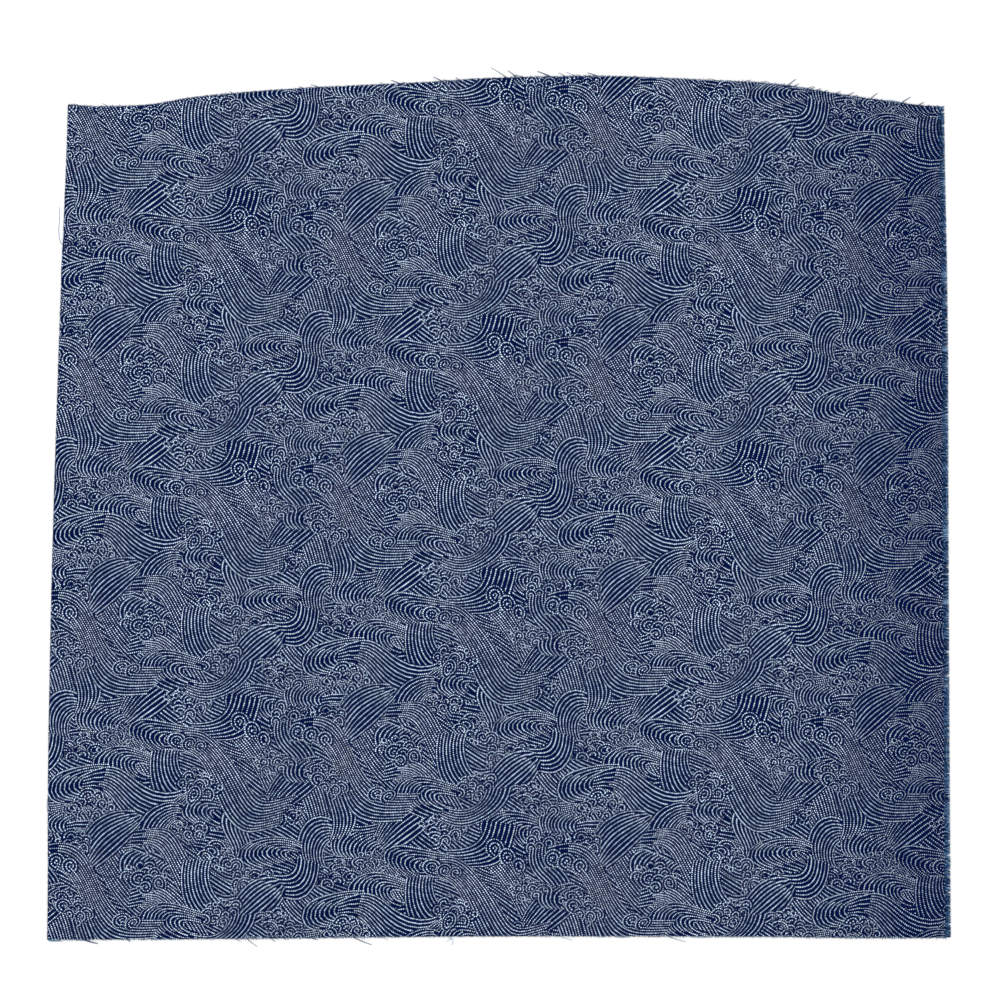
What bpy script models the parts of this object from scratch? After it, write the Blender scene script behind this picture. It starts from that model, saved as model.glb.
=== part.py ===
"""Fabric remnant: one cut length of printed cotton, lying flat, with its four raw edges frayed.

The sheet is a single solid with a flat underside and a faintly uneven top. Each raw edge is a narrow
strip, parted from the sheet by a hairline, with the cut thread ends standing out of it level on the floor.
"""

import math
import random

import bmesh
import bpy
from mathutils import Vector

# Driving dimensions, in metres. X runs along the bottom edge, Y up the sheet, Z up from the floor.
# The woven edges run between four corners, the bottom left one at X = 0 and Y = 0.
CLOTH_BOTTOM = 0.5480      # woven width along the bottom edge
FOOT_RIGHT = 0.0012        # height of the bottom right corner
CLOTH_LEFT = 0.5090        # height of the top left corner
CLOTH_RIGHT = 0.5080       # height of the top right corner
LEAN_LEFT = 0.0127         # how far in the top left corner stands
LEAN_RIGHT = 0.0040        # how far in the top right corner stands

# How far each edge bows up or to the right of the straight line between its corners, and how far along
# it that is, from the left or the bottom.
TOP_BOW = (
    ("along", "bow"),
    (0.00, 0.0),
    (0.03, -0.0010),
    (0.09, 0.0),
    (0.15, 0.0050),
    (0.26, 0.0100),
    (0.41, 0.0140),
    (0.48, 0.0165),
    (0.61, 0.0180),
    (0.72, 0.0160),
    (0.81, 0.0135),
    (0.89, 0.0070),
    (0.97, 0.0010),
    (1.00, 0.0),
)
BOTTOM_BOW = (
    ("along", "bow"),
    (0.00, 0.0),
    (0.20, 0.0003),
    (0.50, 0.0015),
    (0.80, 0.0008),
    (0.90, 0.0),
    (1.00, 0.0),
)
LEFT_BOW = (
    ("along", "bow"),
    (0.00, 0.0),
    (0.20, -0.0020),
    (0.45, -0.0027),
    (0.75, -0.0017),
    (1.00, 0.0),
)
RIGHT_BOW = (
    ("along", "bow"),
    (0.00, 0.0),
    (0.45, 0.0005),
    (0.75, 0.0011),
    (1.00, 0.0),
)

SHEET = 0.0010             # thickness of the cloth
STRIP = 0.0016             # width of the backing strip that each frayed edge is fused to
PART_GAP = 0.0003          # hairline between a strip and the sheet
ACROSS_STEPS = 48          # squares of the sheet's top from left to right
UP_STEPS = 24              # squares of the sheet's top from bottom to top

# Soft waves in the cloth as it lies: place and half-width as fractions of the sheet, and height.
# A wave runs along the line through (across, up) at the given angle.
SOFT_WAVES = (
    ("across", "up", "degrees", "half_width", "height"),
    (0.22, 0.70, 62.0, 0.10, 0.00045),
    (0.55, 0.35, 118.0, 0.13, 0.00040),
    (0.80, 0.75, 75.0, 0.09, 0.00050),
    (0.97, 0.50, 90.0, 0.05, 0.00060),
    (0.40, 0.10, 8.0, 0.08, 0.00040),
)

# Frayed edges: strands in all, their width, length and share of length that varies, the tip's width
# as a share of the strand's, and the seed.
FRAYS = (
    ("node", "strands", "width", "length", "spread", "tip", "seed"),
    ("fringe_right", 150, 0.0025, 0.0027, 0.22, 0.70, 11),
    ("fray_top", 76, 0.0017, 0.0011, 0.40, 0.45, 12),
    ("fray_bottom", 50, 0.0017, 0.0009, 0.40, 0.45, 13),
    ("fray_left", 24, 0.0014, 0.0006, 0.40, 0.45, 14),
)
PLACE_SPREAD = 0.04        # share of the pitch by which a strand stands off its even place
WIDTH_SPREAD = (0.85, 1.1)  # narrowest and widest strand as a share of its edge's strand width

# Loose threads that reach far out of an edge: how far along the edge, length, and lean from
# straight out in degrees, positive towards the end of the edge.
LOOSE_THREADS = (
    ("node", "along", "length", "lean"),
    ("fray_top", 0.288, 0.0052, -68.0),
    ("fray_top", 0.381, 0.0060, -66.0),
    ("fray_top", 0.430, 0.0065, -62.0),
    ("fray_top", 0.504, 0.0118, -57.0),
    ("fray_top", 0.520, 0.0069, -55.0),
    ("fray_top", 0.554, 0.0088, -68.0),
    ("fray_top", 0.584, 0.0066, -67.0),
    ("fray_top", 0.608, 0.0065, -72.0),
    ("fray_top", 0.793, 0.0057, 70.0),
    ("fray_top", 0.826, 0.0066, 45.0),
    ("fray_top", 0.921, 0.0053, 43.0),
    ("fray_top", 0.956, 0.0070, 51.0),
    ("fray_bottom", 0.045, 0.0092, 72.0),
    ("fray_bottom", 0.226, 0.0083, 52.0),
    ("fray_bottom", 0.341, 0.0115, 68.0),
    ("fray_bottom", 0.448, 0.0070, 40.0),
    ("fray_bottom", 0.570, 0.0080, 72.0),
    ("fray_bottom", 0.690, 0.0105, 72.0),
    ("fray_left", 0.840, 0.0220, 86.0),
)
THREAD_WIDTH = 0.0006      # width of a loose thread past its root
STRAIGHT_OUT = 0.0018      # length over which a loose thread runs straight out before it leans
THREAD_TIP = 0.45          # width of a loose thread's tip as a share of the thread's own
STRAND_HEIGHT = 0.0006     # height of a strand past its root


def table(rows):
    """Rows of a short table as dictionaries keyed by its first row."""
    names = rows[0]
    return [dict(zip(names, row)) for row in rows[1:]]


def smooth_between(points, value):
    """Value of a smooth curve through (x, y) points, flat at both ends."""
    last = len(points) - 1
    index = 0
    while index < last - 1 and value > points[index + 1][0]:
        index += 1
    x0, y0 = points[index]
    x1, y1 = points[index + 1]

    def slope(at):
        if at in (0, last):
            return 0.0
        before, after = points[at - 1], points[at + 1]
        return (after[1] - before[1]) / (after[0] - before[0])

    span = x1 - x0
    f = (value - x0) / span
    start = slope(index) * span
    end = slope(index + 1) * span
    return (
        y0 * (2 * f**3 - 3 * f**2 + 1)
        + start * (f**3 - 2 * f**2 + f)
        + y1 * (3 * f**2 - 2 * f**3)
        + end * (f**3 - f**2)
    )


TOP_CURVE = [(row["along"], row["bow"]) for row in table(TOP_BOW)]
BOTTOM_CURVE = [(row["along"], row["bow"]) for row in table(BOTTOM_BOW)]
LEFT_CURVE = [(row["along"], row["bow"]) for row in table(LEFT_BOW)]
RIGHT_CURVE = [(row["along"], row["bow"]) for row in table(RIGHT_BOW)]
CORNERS = {
    "low left": Vector((0.0, 0.0)),
    "low right": Vector((CLOTH_BOTTOM, FOOT_RIGHT)),
    "high left": Vector((LEAN_LEFT, CLOTH_LEFT)),
    "high right": Vector((CLOTH_BOTTOM - LEAN_RIGHT, CLOTH_RIGHT)),
}


def left_edge(t):
    """Point on the woven left edge, from the bottom (t = 0) to the top (t = 1)."""
    return CORNERS["low left"].lerp(CORNERS["high left"], t) + Vector((smooth_between(LEFT_CURVE, t), 0.0))


def right_edge(t):
    """Point on the woven right edge, from the bottom to the top."""
    return CORNERS["low right"].lerp(CORNERS["high right"], t) + Vector((smooth_between(RIGHT_CURVE, t), 0.0))


def bottom_edge(s):
    """Point on the woven bottom edge, from the left (s = 0) to the right (s = 1)."""
    return CORNERS["low left"].lerp(CORNERS["low right"], s) + Vector((0.0, smooth_between(BOTTOM_CURVE, s)))


def top_edge(s):
    """Point on the woven top edge, from the left to the right."""
    return CORNERS["high left"].lerp(CORNERS["high right"], s) + Vector((0.0, smooth_between(TOP_CURVE, s)))


def wave_height(s, t):
    """Height that the soft waves add to the cloth's top at a place on it."""
    height = 0.0
    for wave in table(SOFT_WAVES):
        angle = math.radians(wave["degrees"])
        away = (s - wave["across"]) * math.sin(angle) - (t - wave["up"]) * math.cos(angle)
        height += wave["height"] * math.exp(-((away / wave["half_width"]) ** 2))
    return height


def sheet_point(s, t):
    """Place on the sheet, inside its strips, that (s, t) stands for: the four edges blended."""
    inset = STRIP + PART_GAP
    low = bottom_edge(s) + Vector((0.0, inset))
    high = top_edge(s) - Vector((0.0, inset))
    left = left_edge(t) + Vector((inset, 0.0))
    right = right_edge(t) - Vector((inset, 0.0))
    low_left = bottom_edge(0.0) + Vector((inset, inset))
    low_right = bottom_edge(1.0) + Vector((-inset, inset))
    high_left = top_edge(0.0) + Vector((inset, -inset))
    high_right = top_edge(1.0) + Vector((-inset, -inset))
    corners = (
        low_left * (1 - s) * (1 - t) + low_right * s * (1 - t) + high_left * (1 - s) * t + high_right * s * t
    )
    inset_across = Vector((inset * (1 - 2 * s), 0.0))
    inset_up = Vector((0.0, inset * (1 - 2 * t)))
    return (low + inset_across) * (1 - t) + (high + inset_across) * t + (left + inset_up) * (1 - s) + (
        right + inset_up
    ) * s - corners


def make_material(name, colour, roughness):
    """Plain woven-cotton material for a solid."""
    material = bpy.data.materials.new(name)
    material.use_nodes = True
    shader = material.node_tree.nodes["Principled BSDF"]
    shader.inputs["Base Color"].default_value = (*colour, 1.0)
    shader.inputs["Roughness"].default_value = roughness
    shader.inputs["Metallic"].default_value = 0.0
    return material


def add_object(name, bm, material):
    """Object made from a finished bmesh, with its faces pointing out."""
    bmesh.ops.recalc_face_normals(bm, faces=bm.faces)
    mesh = bpy.data.meshes.new(name)
    bm.to_mesh(mesh)
    bm.free()
    mesh.materials.append(material)
    made = bpy.data.objects.new(name, mesh)
    bpy.context.scene.collection.objects.link(made)
    return made


def build_sheet(material):
    """The cloth: a grid with the soft waves on top, flat and plain underneath."""
    bm = bmesh.new()
    top = []
    for j in range(UP_STEPS + 1):
        row = []
        for i in range(ACROSS_STEPS + 1):
            s = i / ACROSS_STEPS
            t = j / UP_STEPS
            place = sheet_point(s, t)
            row.append(bm.verts.new((place.x, place.y, SHEET + wave_height(s, t))))
        top.append(row)
    for j in range(UP_STEPS):
        for i in range(ACROSS_STEPS):
            bm.faces.new((top[j][i], top[j][i + 1], top[j + 1][i + 1], top[j + 1][i]))
    rim = [top[0][i] for i in range(ACROSS_STEPS)]
    rim += [top[j][ACROSS_STEPS] for j in range(UP_STEPS)]
    rim += [top[UP_STEPS][i] for i in range(ACROSS_STEPS, 0, -1)]
    rim += [top[j][0] for j in range(UP_STEPS, 0, -1)]
    under = [bm.verts.new((vert.co.x, vert.co.y, 0.0)) for vert in rim]
    count = len(rim)
    for k in range(count):
        after = (k + 1) % count
        bm.faces.new((rim[after], rim[k], under[k], under[after]))
    bm.faces.new(list(reversed(under)))
    return add_object("cloth", bm, material)


def strand_places(fray, edge_length):
    """Strands along one edge, each as its centre and width in shares of the edge, its length and lean."""
    rng = random.Random(fray["seed"])
    loose = [row for row in table(LOOSE_THREADS) if row["node"] == fray["node"]]
    pitch = 1.0 / fray["strands"]
    places = []
    for index in range(fray["strands"]):
        centre = (index + 0.5 + rng.uniform(-PLACE_SPREAD, PLACE_SPREAD)) * pitch
        width = fray["width"] * rng.uniform(*WIDTH_SPREAD)
        length = fray["length"] * (1.0 + fray["spread"] * rng.uniform(-1.0, 1.0))
        places.append([centre, width / edge_length, length, 0.0])
    for row in loose:
        nearest = min(places, key=lambda place: abs(place[0] - row["along"]))
        nearest[2] = row["length"]
        nearest[3] = row["lean"]
    return places


def build_fray(fray, edge, outward, first, last, material):
    """A backing strip along part of an edge, with its strands grown out of the outer wall.

    edge(f) is the woven edge, outward the way its strands stand, and first and last where along the
    edge the strip begins and ends.
    """
    edge_length = (edge(1.0) - edge(0.0)).length
    places = strand_places(fray, edge_length * (last - first))
    bm = bmesh.new()

    def station(f):
        outer = edge(f)
        inner = outer - outward * STRIP
        return [
            bm.verts.new((inner.x, inner.y, 0.0)),
            bm.verts.new((inner.x, inner.y, SHEET)),
            bm.verts.new((outer.x, outer.y, SHEET)),
            bm.verts.new((outer.x, outer.y, 0.0)),
        ]

    stops = [first]
    roots = {}
    for centre, width, length, lean in places:
        start = first + (centre - width / 2) * (last - first)
        end = first + (centre + width / 2) * (last - first)
        stops.append(start)
        roots[len(stops) - 1] = (length, lean)
        stops.append(end)
    stops.append(last)
    rings = [station(f) for f in stops]
    bm.faces.new(rings[0])
    bm.faces.new(list(reversed(rings[-1])))
    for k in range(len(rings) - 1):
        one, two = rings[k], rings[k + 1]
        for side in range(4):
            after = (side + 1) % 4
            wall = bm.faces.new((one[side], two[side], two[after], one[after]))
            if side == 2 and k in roots:
                length, lean = roots[k]
                grow_strand(bm, wall, (one, two), outward, length, lean, fray["tip"])
    return add_object(fray["node"], bm, material)


def grow_strand(bm, wall, rings, outward, length, lean, tip_share):
    """Extrude the strip's outer wall between two stations into one strand lying on the floor."""
    along = (rings[1][3].co - rings[0][3].co).to_2d()
    root_width = along.length
    along.normalize()
    middle = (rings[0][3].co + rings[1][3].co).to_2d() / 2

    def crosswise(degrees):
        angle = math.radians(degrees)
        return along * math.cos(angle) - outward * math.sin(angle)

    if lean == 0.0:
        tip = middle + outward * length
        stops = [(tip, along, root_width * tip_share, STRAND_HEIGHT)]
    else:
        angle = math.radians(lean)
        leaning = outward * math.cos(angle) + along * math.sin(angle)
        bend = middle + outward * STRAIGHT_OUT
        tip = bend + leaning * (length - STRAIGHT_OUT)
        stops = [
            (bend, crosswise(lean / 2), THREAD_WIDTH, STRAND_HEIGHT),
            (tip, crosswise(lean), THREAD_WIDTH * THREAD_TIP, STRAND_HEIGHT),
        ]
    face = wall
    for place, across, width, height in stops:
        face = bmesh.ops.extrude_discrete_faces(bm, faces=[face])["faces"][0]
        centre = face.calc_center_median().to_2d()
        for vert in face.verts:
            side = 1.0 if (vert.co.to_2d() - centre).dot(along) > 0 else -1.0
            is_high = vert.co.z > 0.0
            spot = place + across * (side * width / 2)
            vert.co = (spot.x, spot.y, height if is_high else 0.0)


def centre_on_origin(objects):
    """Move every piece alike, so that the origin is the middle of the whole thing's underside."""
    corners = [vert.co for made in objects for vert in made.data.vertices]
    low = Vector((min(c.x for c in corners), min(c.y for c in corners), 0.0))
    high = Vector((max(c.x for c in corners), max(c.y for c in corners), 0.0))
    middle = (low + high) / 2
    for made in objects:
        for vert in made.data.vertices:
            vert.co -= middle


def main():
    for old in list(bpy.data.objects):
        bpy.data.objects.remove(old)

    cotton = make_material("printed_cotton", (0.075, 0.100, 0.168), 0.9)
    threads = make_material("cut_threads", (0.045, 0.120, 0.215), 0.9)

    edges = {
        "fringe_right": (right_edge, Vector((1.0, 0.0))),
        "fray_top": (top_edge, Vector((0.0, 1.0))),
        "fray_bottom": (bottom_edge, Vector((0.0, -1.0))),
        "fray_left": (left_edge, Vector((-1.0, 0.0))),
    }
    corner_gap = STRIP + PART_GAP
    made = [build_sheet(cotton)]
    for fray in table(FRAYS):
        edge, outward = edges[fray["node"]]
        is_side = outward.y == 0.0
        skipped = corner_gap / (edge(1.0) - edge(0.0)).length if is_side else 0.0
        made.append(build_fray(fray, edge, outward, skipped, 1.0 - skipped, threads))
    centre_on_origin(made)


if __name__ == "__main__":
    main()
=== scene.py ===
"""Looks of the fabric remnant: a cut length of indigo cotton with a dotted wave print, lying flat.

Laid out as an add-on whose operators each make a piece or a few like ones, and run as a script around
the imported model.
"""

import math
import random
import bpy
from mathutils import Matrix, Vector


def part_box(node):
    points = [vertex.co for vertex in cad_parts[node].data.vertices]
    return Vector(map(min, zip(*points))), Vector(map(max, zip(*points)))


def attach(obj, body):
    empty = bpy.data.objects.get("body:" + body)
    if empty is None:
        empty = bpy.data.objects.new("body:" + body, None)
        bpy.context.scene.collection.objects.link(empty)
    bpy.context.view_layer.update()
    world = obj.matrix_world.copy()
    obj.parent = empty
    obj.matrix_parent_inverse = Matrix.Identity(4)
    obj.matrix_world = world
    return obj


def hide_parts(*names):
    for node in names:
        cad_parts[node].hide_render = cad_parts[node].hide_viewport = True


bl_info = {
    "name": "Fabric Remnant",
    "version": (1, 0, 0),
    "blender": (4, 5, 0),
    "location": "View3D > Sidebar > Remnant",
    "description": "A flat length of wave-printed cotton with frayed edges, and the stage that it lies on",
    "category": "Add Mesh",
}

from dataclasses import dataclass
from functools import partial
from typing import Callable

import bpy
import numpy as np
from bpy.props import FloatProperty, FloatVectorProperty, PointerProperty
from bpy.types import Operator, Panel, PropertyGroup
from mathutils import Vector
from mathutils.geometry import delaunay_2d_cdt

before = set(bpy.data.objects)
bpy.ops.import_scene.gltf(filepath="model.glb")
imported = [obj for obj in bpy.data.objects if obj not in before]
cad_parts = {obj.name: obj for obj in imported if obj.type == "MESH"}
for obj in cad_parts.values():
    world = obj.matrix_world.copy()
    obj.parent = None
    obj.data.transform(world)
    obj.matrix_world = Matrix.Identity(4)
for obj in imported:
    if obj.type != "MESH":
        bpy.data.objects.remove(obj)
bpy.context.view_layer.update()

BODY = "root"
MM = 0.001
EDGE_INSET = 0.0019            # a frayed edge's strip and hairline in the solids, outside the cloth's node
WOVEN_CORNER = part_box("cloth")[0] - Vector((EDGE_INSET, EDGE_INSET, 0.0))
CLOTH_CORNER = np.array((*WOVEN_CORNER.xy, 0.0))


# Settings

def linear(hex_colour):
    """An sRGB hex colour as linear red, green and blue."""
    channels = [int(hex_colour[k : k + 2], 16) / 255 for k in (1, 3, 5)]
    return tuple(c / 12.92 if c <= 0.04045 else ((c + 0.055) / 1.055) ** 2.4 for c in channels)


def size_prop(name, text, default):
    """A length that a user would change."""
    return FloatProperty(name=name, description=text, default=default, unit="LENGTH", subtype="DISTANCE")


def number_prop(name, text, default, unit="NONE"):
    """A number that a user would change."""
    return FloatProperty(name=name, description=text, default=default, unit=unit)


def colour_prop(name, text, hex_colour):
    """A colour that a user would change, given as sRGB hex."""
    return FloatVectorProperty(
        name=name, description=text, default=linear(hex_colour), size=3, subtype="COLOR", min=0, max=1
    )


class RemnantCut(PropertyGroup):
    """Sizes that the cloth was cut to, the same as the solids'."""

    bottom: size_prop("Bottom", "Woven width along the bottom edge", 0.5480)
    foot_right: size_prop("Foot right", "Height of the bottom right corner", 0.0012)
    left: size_prop("Left", "Height of the top left corner", 0.5090)
    right: size_prop("Right", "Height of the top right corner", 0.5080)
    lean_left: size_prop("Lean left", "How far in the top left corner stands", 0.0127)
    lean_right: size_prop("Lean right", "How far in the top right corner stands", 0.0040)
    lying: size_prop("Lying height", "Height of the cloth's face where it lies flat", 0.0010)
    edge_height: size_prop("Edge height", "Height of the cloth's face at its cut edge", 0.00055)


class RemnantPrint(PropertyGroup):
    """The dotted wave print."""

    bead_gap: size_prop("Dot gap", "Distance between the dots of a line", 0.00116)
    bead_size: size_prop("Dot size", "Width of a printed dot", 0.000565)
    ground: colour_prop("Ground", "Dyed indigo cotton", "#000C36")
    paste: colour_prop("Print", "Pale blue-grey print", "#D8EBFF")
    reverse: colour_prop("Reverse", "Unprinted back of the cloth", "#2B3F66")


class RemnantFray(PropertyGroup):
    """Cut thread ends and loose threads."""

    thread: size_prop("Thread", "Width of a loose thread", 0.00050)
    dark: colour_prop("Dark thread", "Thread in the shade of the dye", "#04133A")
    weft: colour_prop("Weft", "Dyed thread", "#305E8C")
    pale: colour_prop("Pale thread", "Thread that the print or the wear has lightened", "#A2B9CA")


class RemnantStage(PropertyGroup):
    """Floor, light and camera."""

    floor: colour_prop("Floor", "Plain pale floor", "#E3E3E3")
    frame_width: size_prop("Frame width", "Width that the picture takes in", 0.610)
    aim_across: size_prop("Aim across", "Middle of the picture, to the right of the part's origin", 0.0008)
    aim_up: size_prop("Aim up", "Middle of the picture, above the part's origin", 0.0043)
    lens: number_prop("Lens", "Focal length in millimetres", 100.0, "CAMERA")
    sky: number_prop("Sky", "Strength of the even light all round", 1.04)
    key: number_prop("Key", "Power of the soft light overhead, in watts", 21.0, "POWER")


# The cloth's outline, in metres from its bottom left corner

# How far each edge bows up or to the right of the straight line between its corners, in metres, and how
# far along it that is, from the left or the bottom.
TOP_BOW = (
    (0.00, 0.0),
    (0.03, -0.0010),
    (0.09, 0.0),
    (0.15, 0.0050),
    (0.26, 0.0100),
    (0.41, 0.0140),
    (0.48, 0.0165),
    (0.61, 0.0180),
    (0.72, 0.0160),
    (0.81, 0.0135),
    (0.89, 0.0070),
    (0.97, 0.0010),
    (1.00, 0.0),
)
BOTTOM_BOW = (
    (0.00, 0.0),
    (0.20, 0.0003),
    (0.50, 0.0015),
    (0.80, 0.0008),
    (0.90, 0.0),
    (1.00, 0.0),
)
LEFT_BOW = (
    (0.00, 0.0),
    (0.20, -0.0020),
    (0.45, -0.0027),
    (0.75, -0.0017),
    (1.00, 0.0),
)
RIGHT_BOW = (
    (0.00, 0.0),
    (0.45, 0.0005),
    (0.75, 0.0011),
    (1.00, 0.0),
)

# Soft waves in the cloth: place and half-width as shares of the sheet, direction, and height in metres.
SOFT_WAVES = (
    (0.22, 0.70, 62.0, 0.10, 0.00045),
    (0.55, 0.35, 118.0, 0.13, 0.00040),
    (0.80, 0.75, 75.0, 0.09, 0.00050),
    (0.97, 0.50, 90.0, 0.05, 0.00060),
    (0.40, 0.10, 8.0, 0.08, 0.00040),
)
EDGE_SOFT = 0.006              # width over which the cloth's face comes down to its cut edge
RIM_STEP = 0.0035              # distance between two points of its outline


def bow_at(bow, along):
    """How far an edge bows at a share of its length, on a smooth curve through the places of its table."""
    x = np.array([row[0] for row in bow])
    y = np.array([row[1] for row in bow])
    slope = np.zeros(len(x))
    slope[1:-1] = (y[2:] - y[:-2]) / (x[2:] - x[:-2])
    along = np.clip(along, 0.0, 1.0)
    at = np.clip(np.searchsorted(x, along, side="right") - 1, 0, len(x) - 2)
    span = x[at + 1] - x[at]
    f = (along - x[at]) / span
    return (
        y[at] * (2 * f**3 - 3 * f**2 + 1)
        + slope[at] * span * (f**3 - 2 * f**2 + f)
        + y[at + 1] * (3 * f**2 - 2 * f**3)
        + slope[at + 1] * span * (f**3 - f**2)
    )


def corners(cut):
    """The woven cloth's corners: low left, low right, high left and high right."""
    high_right = cut.bottom - cut.lean_right + 1j * cut.right
    return 0j, cut.bottom + 1j * cut.foot_right, cut.lean_left + 1j * cut.left, high_right


def left_edge(cut, t):
    """A place on the woven left edge, from the bottom (t = 0) to the top (t = 1)."""
    low_left, _, high_left, _ = corners(cut)
    return low_left + (high_left - low_left) * t + bow_at(LEFT_BOW, t)


def right_edge(cut, t):
    """A place on the woven right edge, from the bottom to the top."""
    _, low_right, _, high_right = corners(cut)
    return low_right + (high_right - low_right) * t + bow_at(RIGHT_BOW, t)


def bottom_edge(cut, s):
    """A place on the woven bottom edge, from the left (s = 0) to the right (s = 1)."""
    low_left, low_right, _, _ = corners(cut)
    return low_left + (low_right - low_left) * s + 1j * bow_at(BOTTOM_BOW, s)


def top_edge(cut, s):
    """A place on the woven top edge, from the left to the right."""
    _, _, high_left, high_right = corners(cut)
    return high_left + (high_right - high_left) * s + 1j * bow_at(TOP_BOW, s)


def cloth_outline(cut):
    """The woven edge all round, anticlockwise from the bottom left."""
    points = []
    for edge, length, backwards in (
        (bottom_edge, cut.bottom, False),
        (right_edge, cut.right, False),
        (top_edge, cut.bottom, True),
        (left_edge, cut.left, True),
    ):
        share = np.linspace(0.0, 1.0, round(length / RIM_STEP) + 1)[:-1]
        points.append(edge(cut, 1.0 - share if backwards else share))
    return np.concatenate(points)


def face_height(cut, places):
    """Height of the cloth's face: its soft waves, coming down to the cut edge."""
    # s and t are shares of the way across and up the cloth.
    x, y = places.real, places.imag
    t = np.clip(y / cut.left, 0.0, 1.0)
    left = left_edge(cut, t).real
    right = right_edge(cut, t).real
    s = np.clip((x - left) / (right - left), 0.0, 1.0)
    low = bottom_edge(cut, s).imag
    high = top_edge(cut, s).imag
    t = (y - low) / (high - low)
    height = np.full(len(places), cut.lying)
    for across, up, degrees, half_width, lift in SOFT_WAVES:
        angle = math.radians(degrees)
        away = (s - across) * math.sin(angle) - (t - up) * math.cos(angle)
        height += lift * np.exp(-((away / half_width) ** 2))
    to_edge = np.minimum.reduce([x - left, right - x, y - low, high - y])
    inward = np.clip(to_edge / EDGE_SOFT, 0.0, 1.0)
    return cut.edge_height + (height - cut.edge_height) * (1 - (1 - inward) ** 2)


# The wave print

# Its motifs are drawn in millimetres, each over the ones before it, and a place is one complex number:
# across the cloth plus i times up it.

ACROSS, UP = 155.5, 154.3      # size of the repeat, mm
NEAR = 2                       # how many repeats away the copies are that can reach into one
SPARE = 5.0                    # how far outside the cloth the motifs are still laid, mm
MARGIN = 0.35                  # plain ground past the ends of a motif's lines, mm
WIDEST = 1.30                  # widest gap in a motif, as a share of its usual gap
LEAST_GAP = 0.12               # gap below which lines aren't counted as any closer, mm
FAR_APART = 60.0               # gap that keeps a place clear of lines, mm

FOAM_LINE = 1.95               # gap between two lines of foam, mm
FOAM_PITCH = 6.4               # distance between two curls of foam, mm
FOAM_ROWS = 0.62               # distance between two rows of them, as a share of that
FOAM_RIM = 0.8                 # how far the first row lies inside the patch, mm
ASIDE, UPWARD = 0.9, 0.7       # how far a curl may lie off its place in the row, across and up, mm
FOAM_LEAN, CURL_LEAN = 30, 50  # how far a patch leans, and a curl in it leans from that, degrees
FOAM_RADII = (3.4, 6.2)        # least and most radius of an arch, mm
ARCHES, HOOKS, CURLS = 0.40, 0.74, 0.84    # shares of the foam that they make up, each with those before
ARCH_SPANS, HOOK_SPANS = (100, 140), (140, 170)        # how far round they reach to either side, degrees
ARCH_DRIFTS, ARCH_GAPS = (0.0, 0.3), (1.85, 2.15)      # drift of an arch's rings, and their gap, mm
HOOK_SIZE, CURL_SIZE = 0.95, 0.85          # radii of hooks and curls, as shares of an arch's
RIM_BUBBLES = 3                # bubbles thrown off round a patch of foam
BUBBLE_RIM = 1.1               # how far out they lie, as a share of the patch's size
BUBBLE = 2.0                   # radius of a bubble, mm
BUBBLE_LINE = 0.66             # gap of its one ring, as a share of that

BREAKER_STEP = 1.3             # distance between two wave heads, as a share of their radius
BREAKER_LESS = 0.07            # how much smaller each next one is, as a share of the first
BREAKER_FACING = 130.0         # way that a wave head faces from its row, degrees
BREAKER_SPAN = 155.0           # how far round it reaches to either side, degrees

# Whole numbers of the sea's lines lie between a repeat and the next column's, and the one above it.
SEA_ASIDE, SEA_UP = 71, 62
SEA_LENGTH = 1200.0            # length of those lines, mm
SEA_NUMBER = 8                 # motif number that they count from
SEA_STEP = 9.0                 # distance between the mesh's corners in the sea, mm

LINES_APART = 64.0             # step between two motifs in the numbers of their lines
LINES_BEFORE = 8.0             # numbers left free before a motif's first line
LINE_REACH = 0.44              # how far from a line a thread still takes some of its colour, mm
LINE_FADE = 0.30               # over how much of that the colour fades, mm
SWAY, RIPPLE = 1.9, 1.1        # how far two waves lean the whole drawing aside and up, mm
UNSWAY_ROUNDS = 8              # in which a swayed place is traced back to where it was drawn

# How finely a motif is drawn, and how its lines are found again at a place.
FINEST_STEP, COARSEST_STEP = 1.35, 6.5     # limits to the distance between its mesh corners, mm
OVER_STEP = 1.3                # distance between them across the lines, as a share of that along them
CURVE_PIECES = 96              # straight pieces that a curve is measured in
SEEDS_OVER, SEEDS_ALONG = 9, 25            # places across and along the lines from which a search starts
SEARCH_ROUNDS = 6
SEARCH_BATCH = 4000            # places searched at once
STEP_OVER, STEP_ALONG = 0.2, 0.1           # furthest that a search moves in a round, as shares
PAST_OVER, PAST_ALONG = 0.25, 0.2          # furthest that it goes past the motif's sides and ends
LEAST_AREA = 1e-3              # keeps it from dividing by nothing, square mm
LEAST_OVER, LEAST_ALONG = 2, 5             # fewest mesh steps over a motif's lines and along them
MORE_TURN = 0.2                # added to a curve's turning, so that a straight one has a radius, radians
INNERMOST = 0.35               # radius of the smallest arch, as a share of the gap
LEAST_RADIUS = 0.01            # of a ring of mesh corners, mm
LEAST_CORNERS = 6              # on such a ring
PLAIN_MIDDLE = 0.8             # radius inside which there are no more such rings, mm
END_STEP = 3.0                 # distance between mesh corners along an arch's ends, mm
TINY = 1e-6                    # keeps a length from being nothing, mm


@dataclass
class Motif:
    """One motif: its outline, mesh points inside it, and how to count its lines and dots at any place.

    measure gives the line number, the share of the way along the line, the gap between lines in mm and
    how far the dots slide along from one line to the next. Line 0 is first_length long, and each next
    line is longer by more_length.
    """

    outline: np.ndarray
    inside: np.ndarray
    measure: Callable
    first_length: float = 0.0
    more_length: float = 0.0


def fine_step(radius):
    """Distance between mesh corners that follows lines of a radius closely enough."""
    return min(max(math.sqrt(radius), FINEST_STEP), COARSEST_STEP)


def turned(degrees):
    """The complex number that turns a place anticlockwise about the origin."""
    return complex(math.cos(math.radians(degrees)), math.sin(math.radians(degrees)))


def cross(a, b):
    """How far b lies to the left of a."""
    return (np.conj(a) * b).imag


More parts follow.
